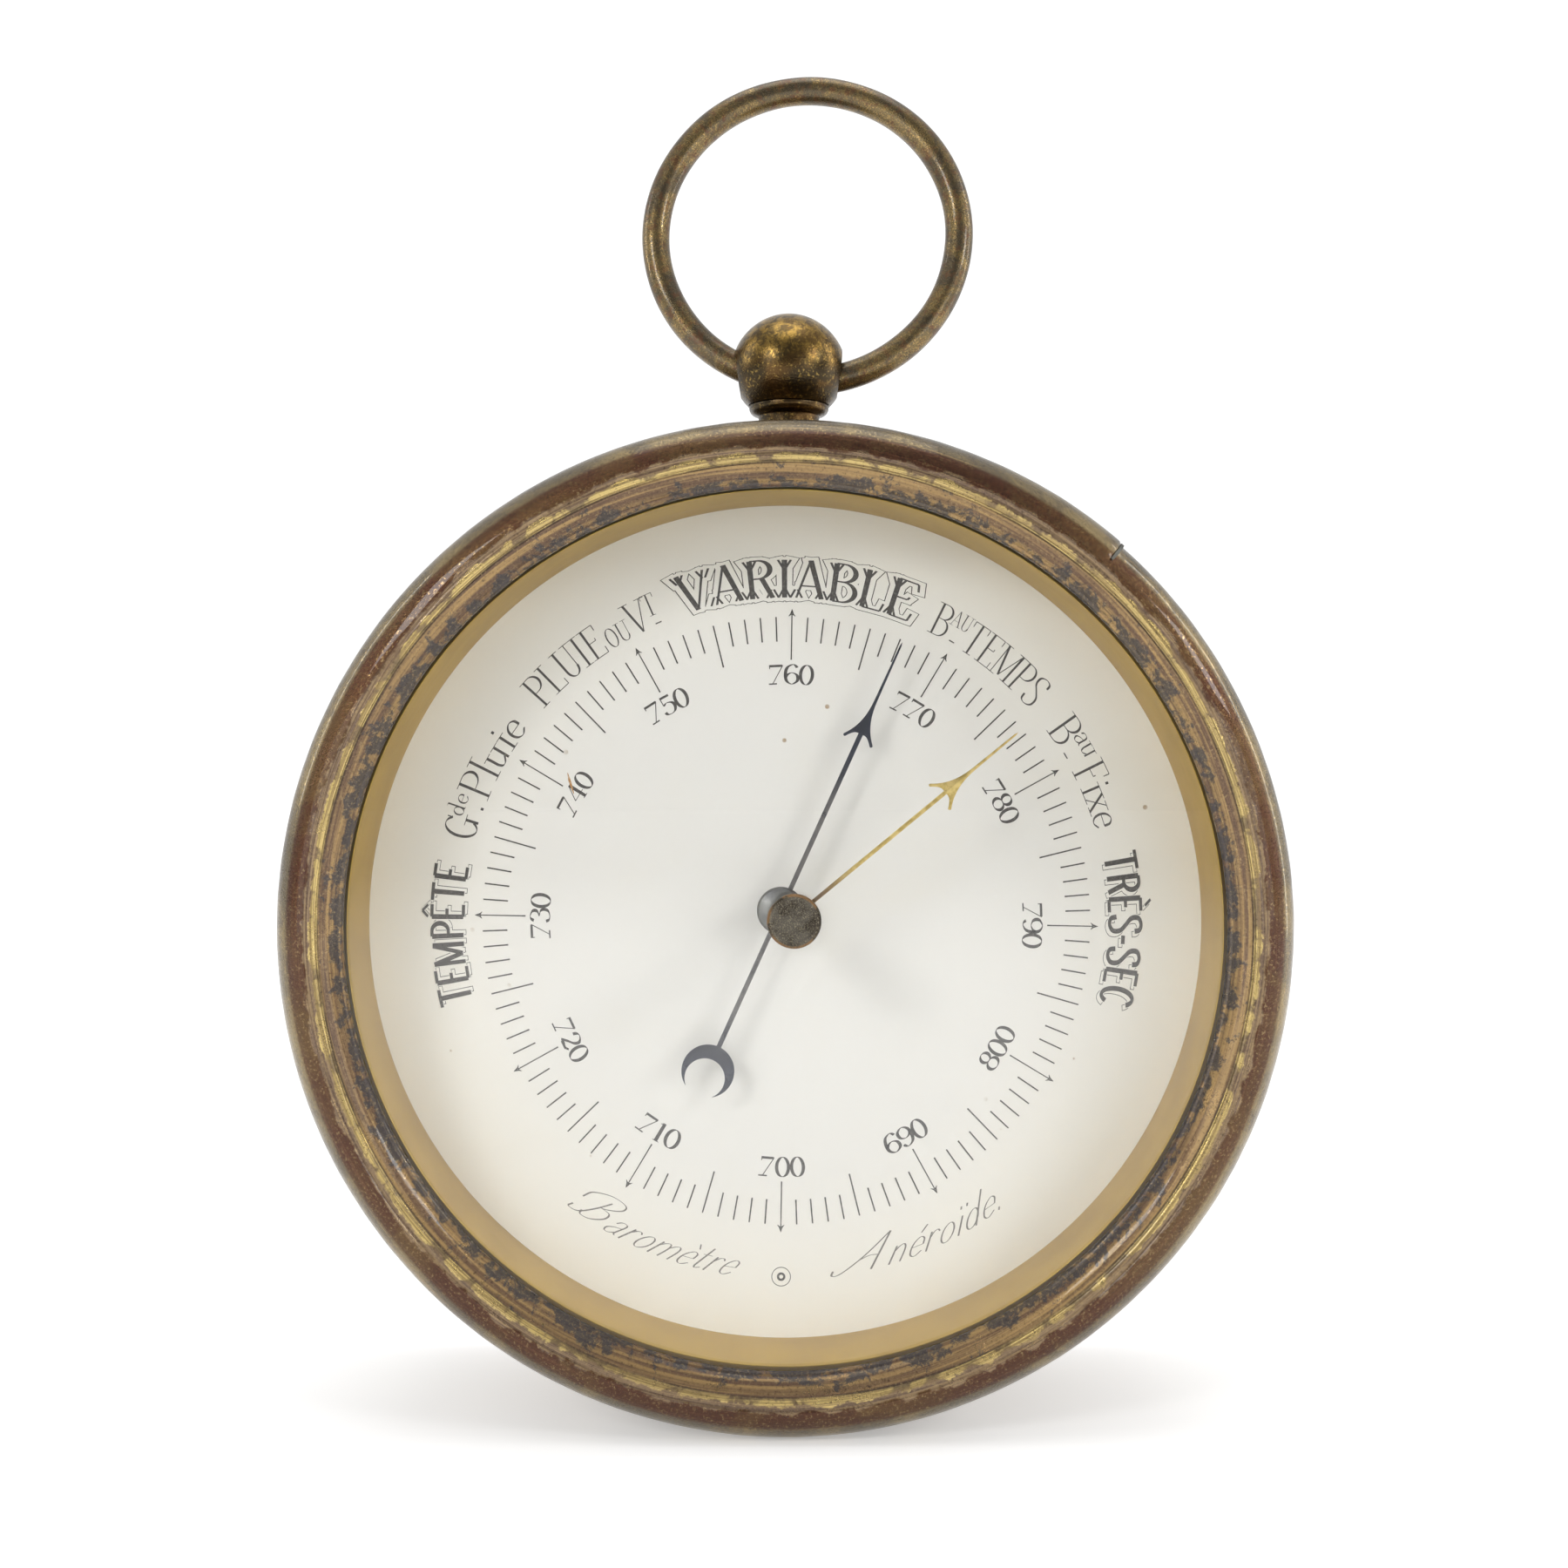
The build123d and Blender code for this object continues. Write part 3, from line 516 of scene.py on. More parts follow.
def movement_metal(name, colour, shade, roughness):
    """Sheet or bar metal inside the case, with a straight grain and a few dull patches."""
    s = Shader(name, metallic=1)
    across_grain = (700, 700, 9000)
    grain = s.noise(1, 3, 0.6, 0, s.vector("MULTIPLY", s.place, across_grain))
    base = s.fade(colour, shade, s.noise(170, 4, 0.6), 0.4, 0.7)
    s.finish(s.fade(base, shade, grain, 0.5, 0.8, 0.35),
             s.span(grain, 0.25, 0.75, roughness - 0.07, roughness + 0.07), s.bump(grain, 0.000008, 0.5))


def clear_glass():
    """Polished glass with the faintest unevenness and dust."""
    s = Shader("clear_glass", transmission_weight=1, ior=1.5)
    dust = s.noise(1500, 3, 0.7)
    s.finish((0.985, 0.992, 0.985), s.span(dust, 0.62, 0.8, 0, 0.1),
             s.bump(s.noise(22, 2), 0.00006, 0.12))


def materials():
    bezel_brass()
    sheet_brass("drum_brass", (0.235, 0.165, 0.082), (0.135, 0.096, 0.055), (0.06, 0.041, 0.027), 0.28)
    sheet_brass("back_brass", (0.3, 0.212, 0.105), (0.185, 0.13, 0.07), (0.09, 0.062, 0.04), 0.32)
    ball_brass()
    ring_brass()
    knob_brass()
    gilt_brass()
    card()
    ink("print_ink", (0.07, 0.064, 0.06), (0.17, 0.16, 0.145))
    ink("fine_ink", (0.06, 0.056, 0.05), (0.19, 0.18, 0.16))
    ink("pale_ink", (0.17, 0.16, 0.145), (0.34, 0.32, 0.29))
    ink("scratch_stain", (0.42, 0.22, 0.085), (0.62, 0.47, 0.3))
    blued_steel()
    bright_steel()
    setting_brass()
    movement_metal("movement_brass", (0.66, 0.48, 0.22), (0.5, 0.35, 0.16), 0.32)
    movement_metal("capsule_metal", (0.62, 0.6, 0.55), (0.46, 0.44, 0.39), 0.36)
    movement_metal("movement_steel", (0.5, 0.5, 0.51), (0.36, 0.36, 0.37), 0.3)
    movement_metal("spring_steel", (0.1, 0.13, 0.26), (0.07, 0.07, 0.14), 0.26)
    movement_metal("screw_steel", (0.24, 0.225, 0.21), (0.12, 0.105, 0.095), 0.38)
    movement_metal("solder", (0.16, 0.16, 0.14), (0.085, 0.08, 0.07), 0.5)
    clear_glass()


# ---- lettering for the dial ----

def straight(kind, x, y, to_x, to_y):
    """A straight stroke. Glyphs are drawn on a grid where a capital is 10 high."""
    return kind, [Vector((x, y)), Vector((to_x, to_y))], False


thick, medium, thin, serif, flare = [partial(straight, kind)
                                     for kind in ("thick", "medium", "thin", "serif", "flare")]


def oval(x, y, across, up, start=0, end=360):
    """An oval stroke, or part of one: angles in degrees, anticlockwise from the right."""
    whole = end - start == 360
    count = 32 if whole else 24
    angles = [radians(start + (end - start) * k / count) for k in range(count if whole else count + 1)]
    return "curve", [Vector((x + across * cos(t), y + up * sin(t))) for t in angles], whole


def curve(*points):
    """A smooth stroke through the points."""
    fixed = [Vector(point) for point in points]
    padded = [fixed[0] * 2 - fixed[1], *fixed, fixed[-1] * 2 - fixed[-2]]
    path = []
    for a, b, c, d in zip(padded, padded[1:], padded[2:], padded[3:]):
        for t in (0, 0.2, 0.4, 0.6, 0.8):
            path.append(0.5 * (2 * b + (c - a) * t + (2 * a - 5 * b + 4 * c - d) * t * t
                               + (3 * b - a - 3 * c + d) * t ** 3))
    return "curve", path + [fixed[-1]], False


def foot(x, y):
    """The end of a stem: a hairline serif, or two flared points in the ornamental letters."""
    inward = 2.2 if y < 5 else -2.2
    return [serif(x - 1.15, y, x + 1.15, y),
            flare(x - 0.2, y + inward, x - 0.95, y),
            flare(x + 0.2, y + inward, x + 0.95, y)]


def stem(x, low=0, high=10, stroke=thick):
    """An upright stroke with a foot at each end."""
    return [stroke(x, low, x, high), *foot(x, low), *foot(x, high)]


def bowl(x, reach_to, low, high):
    """The round part of a B, P or R, from a stem at x."""
    middle = x + (reach_to - x) * 0.4
    return [oval(middle, (low + high) / 2, reach_to - middle, (high - low) / 2, -90, 90),
            thin(x, low, middle, low), thin(x, high, middle, high)]


def arm(x, end, y, tick):
    """A horizontal arm of an E, F, L or T, with its small upright end."""
    return [thin(x, y, end, y), serif(end, y, end, y + tick),
            flare(end, y, end + 0.3, y + tick)]


def dot(x, y):
    return thick(x, y - 0.45, x, y + 0.45)


SIX = [(4.7, 8.5), (4.0, 9.7), (2.9, 10), (1.1, 8.4), (0.45, 5.0), (0.9, 1.6), (2.8, 0), (4.7, 1.3),
       (5.1, 3.0), (4.6, 4.9), (2.9, 5.8), (1.3, 4.9), (0.6, 3.6)]
F_STROKES = [*stem(1.2), *arm(1.2, 4.1, 10, -1.9), *arm(1.2, 3.2, 5.2, 0.8)]
C_STROKES = [oval(2.6, 5, 1.9, 5, 42, 318), serif(4.0, 8.4, 4.0, 10)]
ARCH = [(3.4, 0), (3.4, 4.0), (2.7, 5.5), (1.7, 5.2), (0.9, 4.0)]

# Each glyph: (width, strokes). The alphabet is plain and drawn for this dial.
GLYPHS = {
    "0": (5.5, [oval(2.75, 5, 2.2, 5)]),
    "1": (4.2, [*stem(2.2)[:2], thin(2.2, 10, 1.0, 8.9)]),
    "2": (5.5, [curve((0.9, 7.4), (1.5, 9.4), (2.9, 10), (4.7, 8.4), (4.3, 5.8), (2.3, 3.4), (0.6, 0.9)),
                curve((0.6, 0.9), (1.9, 1.5), (3.6, 0.3), (5.1, 1.7)), thick(1.2, 0.7, 4.4, 0.5)]),
    "3": (5.5, [curve((0.9, 8.2), (1.6, 9.7), (2.8, 10), (4.4, 8.8), (4.3, 6.6), (2.6, 5.4)),
                curve((2.6, 5.4), (4.5, 4.8), (5.1, 3.0), (4.5, 0.9), (2.7, 0), (1.2, 0.4), (0.6, 1.9))]),
    "4": (5.8, [thin(3.8, 10, 0.3, 3), thin(0.3, 3, 5.5, 3), *stem(4.0)[:2]]),
    "5": (5.5, [thin(1.2, 10, 1.2, 5.2), thick(1.3, 9.4, 4.5, 9.4), curve(
        (1.2, 5.2), (2.6, 6.1), (4.5, 5.2), (5.1, 3.1), (4.3, 0.8), (2.6, 0), (1.1, 0.5), (0.6, 1.9))]),
    "6": (5.5, [curve(*SIX)]),
    "7": (6.0, [thick(0.9, 9.4, 5.4, 9.4), thin(0.8, 10, 0.8, 7.9), thin(5.5, 9.6, 1.6, 0.2),
                medium(0.1, 0.2, 3.2, 0.2)]),
    "8": (5.5, [oval(2.75, 7.5, 1.85, 2.5), oval(2.75, 2.6, 2.25, 2.6)]),
    "9": (5.5, [curve(*[(5.5 - x, 10 - y) for x, y in SIX])]),
    "A": (5.2, [thin(0.5, 0, 2.5, 10), thick(2.5, 10, 4.6, 0), *foot(0.5, 0), *foot(4.6, 0),
                thin(1.1, 3.2, 3.9, 3.2)]),
    "B": (4.9, [*stem(1.2), *bowl(1.2, 4.2, 5.3, 10), *bowl(1.2, 4.6, 0, 5.3)]),
    "C": (4.6, C_STROKES),
    "E": (4.7, [*F_STROKES, *arm(1.2, 4.3, 0, 2.1)]),
    "F": (4.5, F_STROKES),
    "G": (5.0, [*C_STROKES, thick(4.2, 0.2, 4.2, 4.2), *foot(4.2, 4.2)]),
    "I": (2.8, stem(1.4)),
    "L": (4.6, [*stem(1.2), *arm(1.2, 4.2, 0, 2.1)]),
    "M": (6.4, [*stem(0.9, stroke=thin), thick(0.9, 10, 3.1, 0.6), thin(3.1, 0.6, 5.3, 10), *stem(5.4)]),
    "O": (5.0, [oval(2.5, 5, 1.9, 5)]),
    "P": (4.7, [*stem(1.2), *bowl(1.2, 4.3, 4.8, 10)]),
    "R": (5.0, [*stem(1.2), *bowl(1.2, 4.2, 5.2, 10), thick(2.9, 5.2, 4.5, 0), *foot(4.5, 0)]),
    "S": (4.6, [curve((4.0, 8.0), (3.7, 9.5), (2.4, 10), (1.0, 9.1), (1.1, 6.9), (2.5, 5.2), (3.9, 3.4),
                      (4.0, 1.1), (2.6, 0), (1.1, 0.4), (0.7, 2.2))]),
    "T": (5.0, [*stem(2.5), *arm(2.5, 0.4, 10, -1.9), *arm(2.5, 4.6, 10, -1.9)]),
    "U": (5.2, [thick(1.1, 10, 1.1, 2.6), thin(4.2, 10, 4.2, 2.6),
                oval(2.65, 2.6, 1.55, 2.6, 180, 360), *foot(1.1, 10), *foot(4.2, 10)]),
    "V": (5.2, [thick(0.6, 10, 2.6, 0), thin(2.6, 0, 4.6, 10), *foot(0.6, 10), *foot(4.6, 10)]),
    "a": (4.2, [curve((0.8, 4.3), (1.3, 5.4), (2.3, 5.6), (3.2, 4.7), (3.2, 1.0), (3.9, 0.1)),
                curve((3.2, 3.4), (1.6, 2.8), (0.6, 1.6), (1.1, 0.2), (2.2, 0.1), (3.2, 1.2))]),
    "d": (4.5, [oval(2.0, 2.8, 1.4, 2.8), thick(3.4, 0, 3.4, 10), serif(2.5, 10, 3.4, 10),
                serif(3.4, 0, 4.2, 0)]),
    "e": (4.0, [thin(0.7, 3.0, 3.4, 3.0), curve(
        (3.4, 3.0), (3.2, 4.8), (2.1, 5.6), (1.0, 4.6), (0.6, 2.8), (1.0, 0.8), (2.2, 0), (3.5, 1.1))]),
    "i": (2.3, [*stem(1.2, 0, 5.6), dot(1.2, 8.2)]),
    "l": (2.3, stem(1.2)),
    "m": (6.9, [*stem(0.9, 0, 5.6), curve(*ARCH), curve(*[(x + 2.5, y) for x, y in ARCH])]),
    "n": (4.6, [*stem(0.9, 0, 5.6), curve(*ARCH), *foot(3.4, 0)]),
    "o": (4.1, [oval(2.05, 2.8, 1.5, 2.8)]),
    "r": (3.5, [*stem(0.9, 0, 5.6), curve((0.9, 3.9), (1.6, 5.3), (2.5, 5.5), (3.1, 4.7))]),
    "t": (3.0, [thick(1.2, 8.4, 1.2, 0.9), thin(0.2, 5.6, 2.5, 5.6),
                curve((1.2, 0.9), (1.7, 0.1), (2.7, 0.7))]),
    "u": (4.8, [thick(1.0, 5.6, 1.0, 1.5), curve((1.0, 1.5), (1.4, 0.2), (2.3, 0.1), (3.6, 1.6)),
                thick(3.6, 5.6, 3.6, 0), *foot(1.0, 5.6), *foot(3.6, 5.6)]),
    "x": (4.2, [thick(0.6, 5.6, 3.6, 0), thin(3.4, 5.6, 0.6, 0), *foot(0.6, 5.6), *foot(3.6, 0),
                *foot(0.6, 0), *foot(3.4, 5.6)]),
    "-": (3.0, [thick(0.5, 4.4, 2.5, 4.4)]),
    "_": (2.4, [medium(0.4, 0.6, 2.0, 0.6)]),
    ".": (1.8, [dot(0.9, 0.5)]),
    " ": (2.2, []),
}
ACCENTS = {
    "È": ("E", [medium(1.7, 13.2, 3.0, 11.3)]),
    "Ê": ("E", [medium(1.2, 11.2, 2.6, 13.0), medium(2.6, 13.0, 4.0, 11.2)]),
    "è": ("e", [medium(1.2, 8.8, 2.3, 6.9)]),
    "é": ("e", [medium(3.0, 8.8, 1.9, 6.9)]),
    "ï": ("i", [dot(0.4, 8.2), dot(2.0, 8.2)]),
}
SCRIPT_CAPITALS = {
    "A": (8.5, [curve((-2.6, 1.6), (-2.2, 0.2), (-0.8, 0.3), (1.6, 3.6), (5.0, 9.0), (6.1, 10.4)),
                thick(6.1, 10.4, 5.6, 0.2), curve((1.9, 3.9), (3.6, 4.6), (5.8, 4.2))]),
    "B": (7.5, [curve((2.6, 8.6), (2.2, 4.0), (1.4, 0.6), (-0.6, 0.1), (-1.0, 1.7)),
                curve((-2.2, 5.4), (-2.4, 8.4), (0.6, 10.6), (4.6, 10.2), (5.6, 8.2), (3.6, 6.0), (2.2, 5.6)),
                curve((2.2, 5.6), (5.0, 5.2), (5.8, 3.0), (4.4, 0.6), (2.4, 0.2), (1.4, 1.6))]),
}


def pen(thick_weight, medium_weight, thin_weight, serif_weight=None, flare_weight=None):
    """Stroke weights in grid units; None leaves that kind of stroke out."""
    return {"thick": thick_weight, "medium": medium_weight, "thin": thin_weight,
            "serif": serif_weight, "flare": flare_weight}


NUMERAL = pen(1.20, 0.70, 0.34, 0.36)
ROMAN = pen(0.56, 0.38, 0.24, 0.22)
SANS = pen(1.16, 0.66, 1.00)
ORNATE = pen(0.82, 0.56, 0.38, flare_weight=0.36)
SCRIPT = pen(0.42, 0.36, 0.17)


def glyph(letter, style):
    """(width, strokes) of a letter, with its accent."""
    if style is SCRIPT and letter in SCRIPT_CAPITALS:
        return SCRIPT_CAPITALS[letter]
    if letter in ACCENTS:
        plain, accent = ACCENTS[letter]
        width, strokes = GLYPHS[plain]
        kept = [stroke for stroke in strokes if plain != "i" or stroke[1][0].y < 7]
        return width, kept + accent
    return GLYPHS[letter]


def strokes_of(runs, style, slant=0.0):
    """All the strokes of a word. A run is (text, size, lift, shift of the pen before it)."""
    x, result = 0.0, []
    for text, size, lift, shift in runs:
        x += shift
        for letter in text:
            width, strokes = glyph(letter, style)
            for kind, points, whole in strokes:
                if kind != "curve" and style[kind] is None:
                    continue
                moved = [Vector((x + size * (p.x + slant * p.y), lift + size * p.y)) for p in points]
                result.append((kind, moved, whole, size))
            x += width * size
    return x, result


def neighbours(points, i, whole):
    """The points before and after point i, or point i itself past an open end."""
    before = points[i - 1] if i or whole else points[i]
    after = points[(i + 1) % len(points)] if whole or i + 1 < len(points) else points[i]
    return before, after


def weights(kind, points, whole, style, size):
    """The stroke's width at each point: a curve is thick where it runs up or down the page."""
    if kind != "curve":
        return [style[kind] * size] * len(points)
    result = []
    for i in range(len(points)):
        before, after = neighbours(points, i, whole)
        steepness = abs((after - before).normalized().y) ** 1.6
        result.append(size * (style["thin"] + (style["thick"] - style["thin"]) * steepness))
    return result


LAYER = 0.025          # each layer of print stands this much above the one below
STROKE_STEP = 0.0018   # strokes that may cross are this much apart, so that they never share a face


def ribbon(mesh, points, widths, whole, place, height=LAYER):
    """A thin strip along points, raised that height from the card; place(x, y, depth) puts it there."""
    rows = []
    for i, point in enumerate(points):
        before, after = neighbours(points, i, whole)
        way = (after - before).normalized()
        across = Vector((-way.y, way.x)) * widths[i] / 2
        one, other = point + across, point - across
        corners = (other, 0), (other, height), (one, height), (one, 0)
        rows.append([mesh.verts.new(place(*corner, DIAL_FACE + up)) for corner, up in corners])
    skin(mesh, rows + rows[:1] if whole else rows, capped=not whole)


def on_dial(radius, angle, depth):
    """A point of the print: mm from its centre, degrees clockwise from the 760 arrow."""
    turn = radians(angle + PRINT_TURN)
    return at(PRINT_CENTRE[0] + radius * sin(turn), PRINT_CENTRE[1] + radius * cos(turn), depth)


def lettering(mesh, runs, style, first, last, baseline, height, layer=1, grow=0.0, shift=(0, 0), slant=0.0):
    """A word round the dial from the angle first to last. Capitals run outwards from the baseline, or
    inwards when first is past last. grow widens every stroke, shift moves the word, both in grid units."""
    length, strokes = strokes_of(runs, style, slant)
    upright = 1 if last > first else -1
    scale = height / 10
    turn = (last - first) / length

    def place(x, y, depth):
        return on_dial(baseline + upright * scale * (y + shift[1]), first + turn * (x + shift[0]), depth)

    for number, (kind, points, whole, size) in enumerate(strokes):
        widths = [width + grow for width in weights(kind, points, whole, style, size)]
        if grow and not whole:
            ends = (points[0] - points[1]).normalized(), (points[-1] - points[-2]).normalized()
            points = [points[0] + ends[0] * grow / 2, *points[1:-1], points[-1] + ends[1] * grow / 2]
        ribbon(mesh, points, widths, whole, place, LAYER * layer - STROKE_STEP * (number % 13))


def printed(name, mesh, colour):
    piece(name, mesh, "dial_card", "case", material=colour)


def word(text, size=1.0, lift=0.0, shift=0.0):
    return text, size, lift, shift


# ---- the dial ----

DIVISION = 3                   # degrees for each millimetre of mercury
TOP_READING = 760
STROKE_START, LONG_STROKE_START = 37.33, 34.88
STROKE_END, ARROW_END = 40.62, 41.0
NUMERAL_BASE, NUMERAL_HEIGHT = 31.64, 2.6
NUMERAL_HALF = 5.35            # degrees


def dial_scale():
    """120 divisions, every fifth longer, every tenth an arrow."""
    mesh = bmesh.new()
    for division in range(360 // DIVISION):
        angle = DIVISION * division
        arrow = division % 10 == 0
        inner = STROKE_START if division % 5 else LONG_STROKE_START
        outer = ARROW_END if arrow else STROKE_END

        def place(x, y, depth):
            return on_dial(y, angle + degrees(x / y), depth)

        blunt = [0.20, 0.17, 0.14] if arrow else [0.21, 0.19, 0.185]
        ribbon(mesh, outline((0, inner), (0, inner + 0.5), (0, outer)), blunt, False, place)
        if arrow:
            for side in (-1, 1):
                head = outline((side * 0.46, 40.70), (side * 0.13, 40.98), (0, 41.65))
                ribbon(mesh, head, [0.06, 0.24, 0.05], False, place)
    printed("dial_scale", mesh, "fine_ink")


def dial_numerals():
    """690 to 800, all upright to a reader: those in the lower half run round the other way."""
    mesh = bmesh.new()
    for value in range(690, 801, 10):
        angle = (value - TOP_READING) * DIVISION
        half, base = NUMERAL_HALF, NUMERAL_BASE
        if abs(angle) > 90:
            half, base = -NUMERAL_HALF, NUMERAL_BASE + NUMERAL_HEIGHT
        lettering(mesh, [word(str(value))], NUMERAL, angle - half, angle + half, base, NUMERAL_HEIGHT)
    printed("dial_numerals", mesh, "print_ink")


CAPS_BASE = 43.1
CAPS_HEIGHT = 4.3


def plain_words():
    """The weather words in thin roman letters."""
    mesh = bmesh.new()
    for first, last, runs in (
            (-77.1, -54.2, [word("G"), word("de", 0.55, 5.6, -0.6), word(".", shift=-2.6),
                            word(" Pluie", shift=-1.2)]),
            (-49.9, -23.4, [word("PLUIE"), word("OU", 0.62, 0, 0.5), word("V", shift=0.3),
                            word("T", 0.68, 3.4, -0.6), word("_", shift=-2.4)]),
            (24.8, 47.8, [word("B"), word("AU", 0.50, 5.2, -0.4), word("_", shift=-3.6),
                          word("TEMPS", shift=1.3)]),
            (52.7, 72.8, [word("B"), word("au", 0.66, 5.6, -0.4), word("_", shift=-4.2),
                          word("Fixe", shift=2.7)])):
        lettering(mesh, runs, ROMAN, first, last, CAPS_BASE, CAPS_HEIGHT)
    printed("plain_words", mesh, "print_ink")


def shaded_words():
    """The two outer words: bold letters, each with a thin outline of its shadow to the lower right."""
    shadow, blank, letters = bmesh.new(), bmesh.new(), bmesh.new()
    cast = (0.75, -0.75)
    for first, last, text in ((-105.5, -81.3, "TEMPÊTE"), (77.1, 103.4, "TRÈS-SEC")):
        facts = ([word(text)], SANS, first, last, CAPS_BASE + 0.1, CAPS_HEIGHT - 0.1)
        lettering(shadow, *facts, layer=1, grow=0.28, shift=cast)
        lettering(blank, *facts, layer=2, grow=-0.05, shift=cast)
        lettering(blank, *facts, layer=3, grow=0.35)
        lettering(letters, *facts, layer=4)
    printed("word_shadows", shadow, "fine_ink")
    printed("word_shadow_centres", blank, "dial_card")
    printed("shaded_words", letters, "print_ink")


def middle_word():
    """The word at the top: flared letters inside a thin outline."""
    edge, blank, letters = bmesh.new(), bmesh.new(), bmesh.new()
    facts = ([word("VARIABLE")], ORNATE, -19.6, 21.2, CAPS_BASE + 0.1, CAPS_HEIGHT + 0.75)
    lettering(edge, *facts, layer=1, grow=1.90)
    lettering(blank, *facts, layer=2, grow=1.60)
    lettering(letters, *facts, layer=3)
    printed("middle_word_edge", edge, "fine_ink")
    printed("middle_word_ground", blank, "dial_card")
    printed("middle_word", letters, "print_ink")


def script_words():
    """What the instrument is, in thin sloping letters round the foot of the dial."""
    mesh = bmesh.new()
    for first, last, text in ((216.0, 188.0, "Baromètre"), (170.0, 142.0, "Anéroïde.")):
        runs = [word(text[0], 0.94), word(text[1:], 0.84)]
        lettering(mesh, runs, SCRIPT, first, last, 48.0, 4.4, slant=0.55)
    printed("script_words", mesh, "pale_ink")


def ornament():
    """A plain round ornament at the foot of the dial."""
    mesh = bmesh.new()
    from_centre, angle = 47.6, 179.8

    def place(x, y, depth):
        return on_dial(from_centre + y, angle + degrees(x / from_centre), depth)

    for radius, weight in ((1.25, 0.10), (0.42, 0.30)):
        circle = [Vector((radius * cos(tau * k / 48), radius * sin(tau * k / 48))) for k in range(48)]
        ribbon(mesh, circle, [weight] * 48, True, place)
    printed("dial_ornament", mesh, "fine_ink")


def dial_scratch():
    """An old rust-coloured scratch across the 740."""
    mesh = bmesh.new()
    path = outline((33.1, -60.2), (33.8, -59.2), (34.5, -58.2), (35.3, -57.0))
    ribbon(mesh, path, [0.10, 0.34, 0.40, 0.10], False, on_dial, LAYER * 1.5)
    printed("dial_scratch", mesh, "scratch_stain")


def dial():
    dial_scale()
    dial_numerals()
    plain_words()
    shaded_words()
    middle_word()
    script_words()
    ornament()
    dial_scratch()


# ---- case and bezel ----

def bezel():
    section = outline((61.5, 32.5), (63.0, 32.5), (63.0, 36.1), (62.3, 36.4), ((65.0, 41.0), (60.7, 45.7)),
                      ((60.4, 45.5), (60.0, 45.52)), ((59.6, 45.5), (59.2, 45.3)),
                      ((59.1, 45.1), (58.85, 45.05)), ((57.9, 44.6), (56.7, 43.5)),
                      ((56.3, 43.25), (56.15, 42.8)),
                      (58.0, 42.8), (58.0, 39.0), (61.5, 39.0))

    def shape(angle, radius, depth):
        """Lifts the roll towards its seam, and gives the whole ring small dents and a wavy lip."""
        along_seam = (degrees(angle) - SEAM_START) % 360 / (SEAM_END - SEAM_START)
        on_roll = depth > 36.3 and radius > 61.9
        if on_roll and along_seam < 1:
            radius += SEAM_LIFT * along_seam
        radius += 0.05 * around(angle, 4, depth * 0.15, 3) + 0.03 * around(angle, 22, radius * 0.4, 9)
        depth += 0.05 * around(angle, 7, radius * 0.5, 17)
        if radius < 56.8 and depth > 42.9:
            radius += 0.07 * around(angle, 30, 0, 23)
        return radius, depth

    mesh = lathe(eased(section, 0.09), segments=600, shape=shape)
    piece("bezel_ring", mesh, "bezel_brass", "case", "bezel", sharp=60)


def seam_line():
    """The dull solder line where the rolled edge was joined."""
    mesh = bmesh.new()
    turn = radians(SEAM_END + 0.35)
    rows = []
    for k, point in enumerate(outline((63.4, 37.0), ((65.25, 41.0), (62.3, 45.62)))):
        half = 0.2 * (1 + 0.5 * wobble(k * 0.9, 0, 0, 5))
        row = []
        for side, lift in ((1, 0.03), (-1, 0.03), (-1, -0.15), (1, -0.15)):
            r = point.x + lift
            row.append(mesh.verts.new(at(r * sin(turn) + side * half * cos(turn),
                                         r * cos(turn) - side * half * sin(turn), point.y + lift * 0.3)))
        rows.append(row)
    skin(mesh, rows, capped=True)
    piece("bezel_seam", mesh, "bezel_brass", "case", material="solder")


def drum():
    section = outline((60.3, 0), (62.9, 0), ((64.6, 2.0), (62.9, 4.0)), ((62.0, 4.3), (61.5, 5.0)),
                      (61.5, 39.0), (60.3, 39.0))

    def shape(angle, radius, depth):
        """Shallow dents in the thin wall, between the bead and the bezel."""
        free = max(0.0, min(1.0, (depth - 5) / 6, (32 - depth) / 6))
        return radius + 0.10 * free * around(angle, 5, depth * 0.08, 31), depth

    mesh = lathe(eased(divided(section, 4), 0.15), segments=400, shape=shape)
    piece("case_shell", mesh, "drum_brass", "case", "case_drum", sharp=50)


def sight_ring():
    section = outline((55.6, DIAL_FACE), (56.3, DIAL_FACE), (56.7, 39.8), (58.0, 39.8), (58.0, 40.6),
                      (56.0, 40.6))
    piece("gilt_wall", lathe(eased(section, 0.08), segments=400), "gilt_brass", "case", "sight_ring")


# ---- hands and knob ----

def refined(name, node, slot, body, edge):
    """A finer copy of a flat CAD piece: clean faces, and its edges eased by edge mm."""
    mesh = bmesh.new()
    mesh.from_mesh(frame["nodes"][node].data)
    bmesh.ops.remove_doubles(mesh, verts=mesh.verts, dist=0.000002)
    bmesh.ops.dissolve_limit(mesh, angle_limit=radians(1), verts=mesh.verts, edges=mesh.edges)
    corners = [e for e in mesh.edges if len(e.link_faces) == 2 and e.calc_face_angle() > radians(50)]
    bmesh.ops.bevel(mesh, geom=corners, offset=edge * MM, segments=2, profile=0.6, affect="EDGES",
                    clamp_overlap=True)
    piece(name, mesh, slot, body, node, sharp=40)


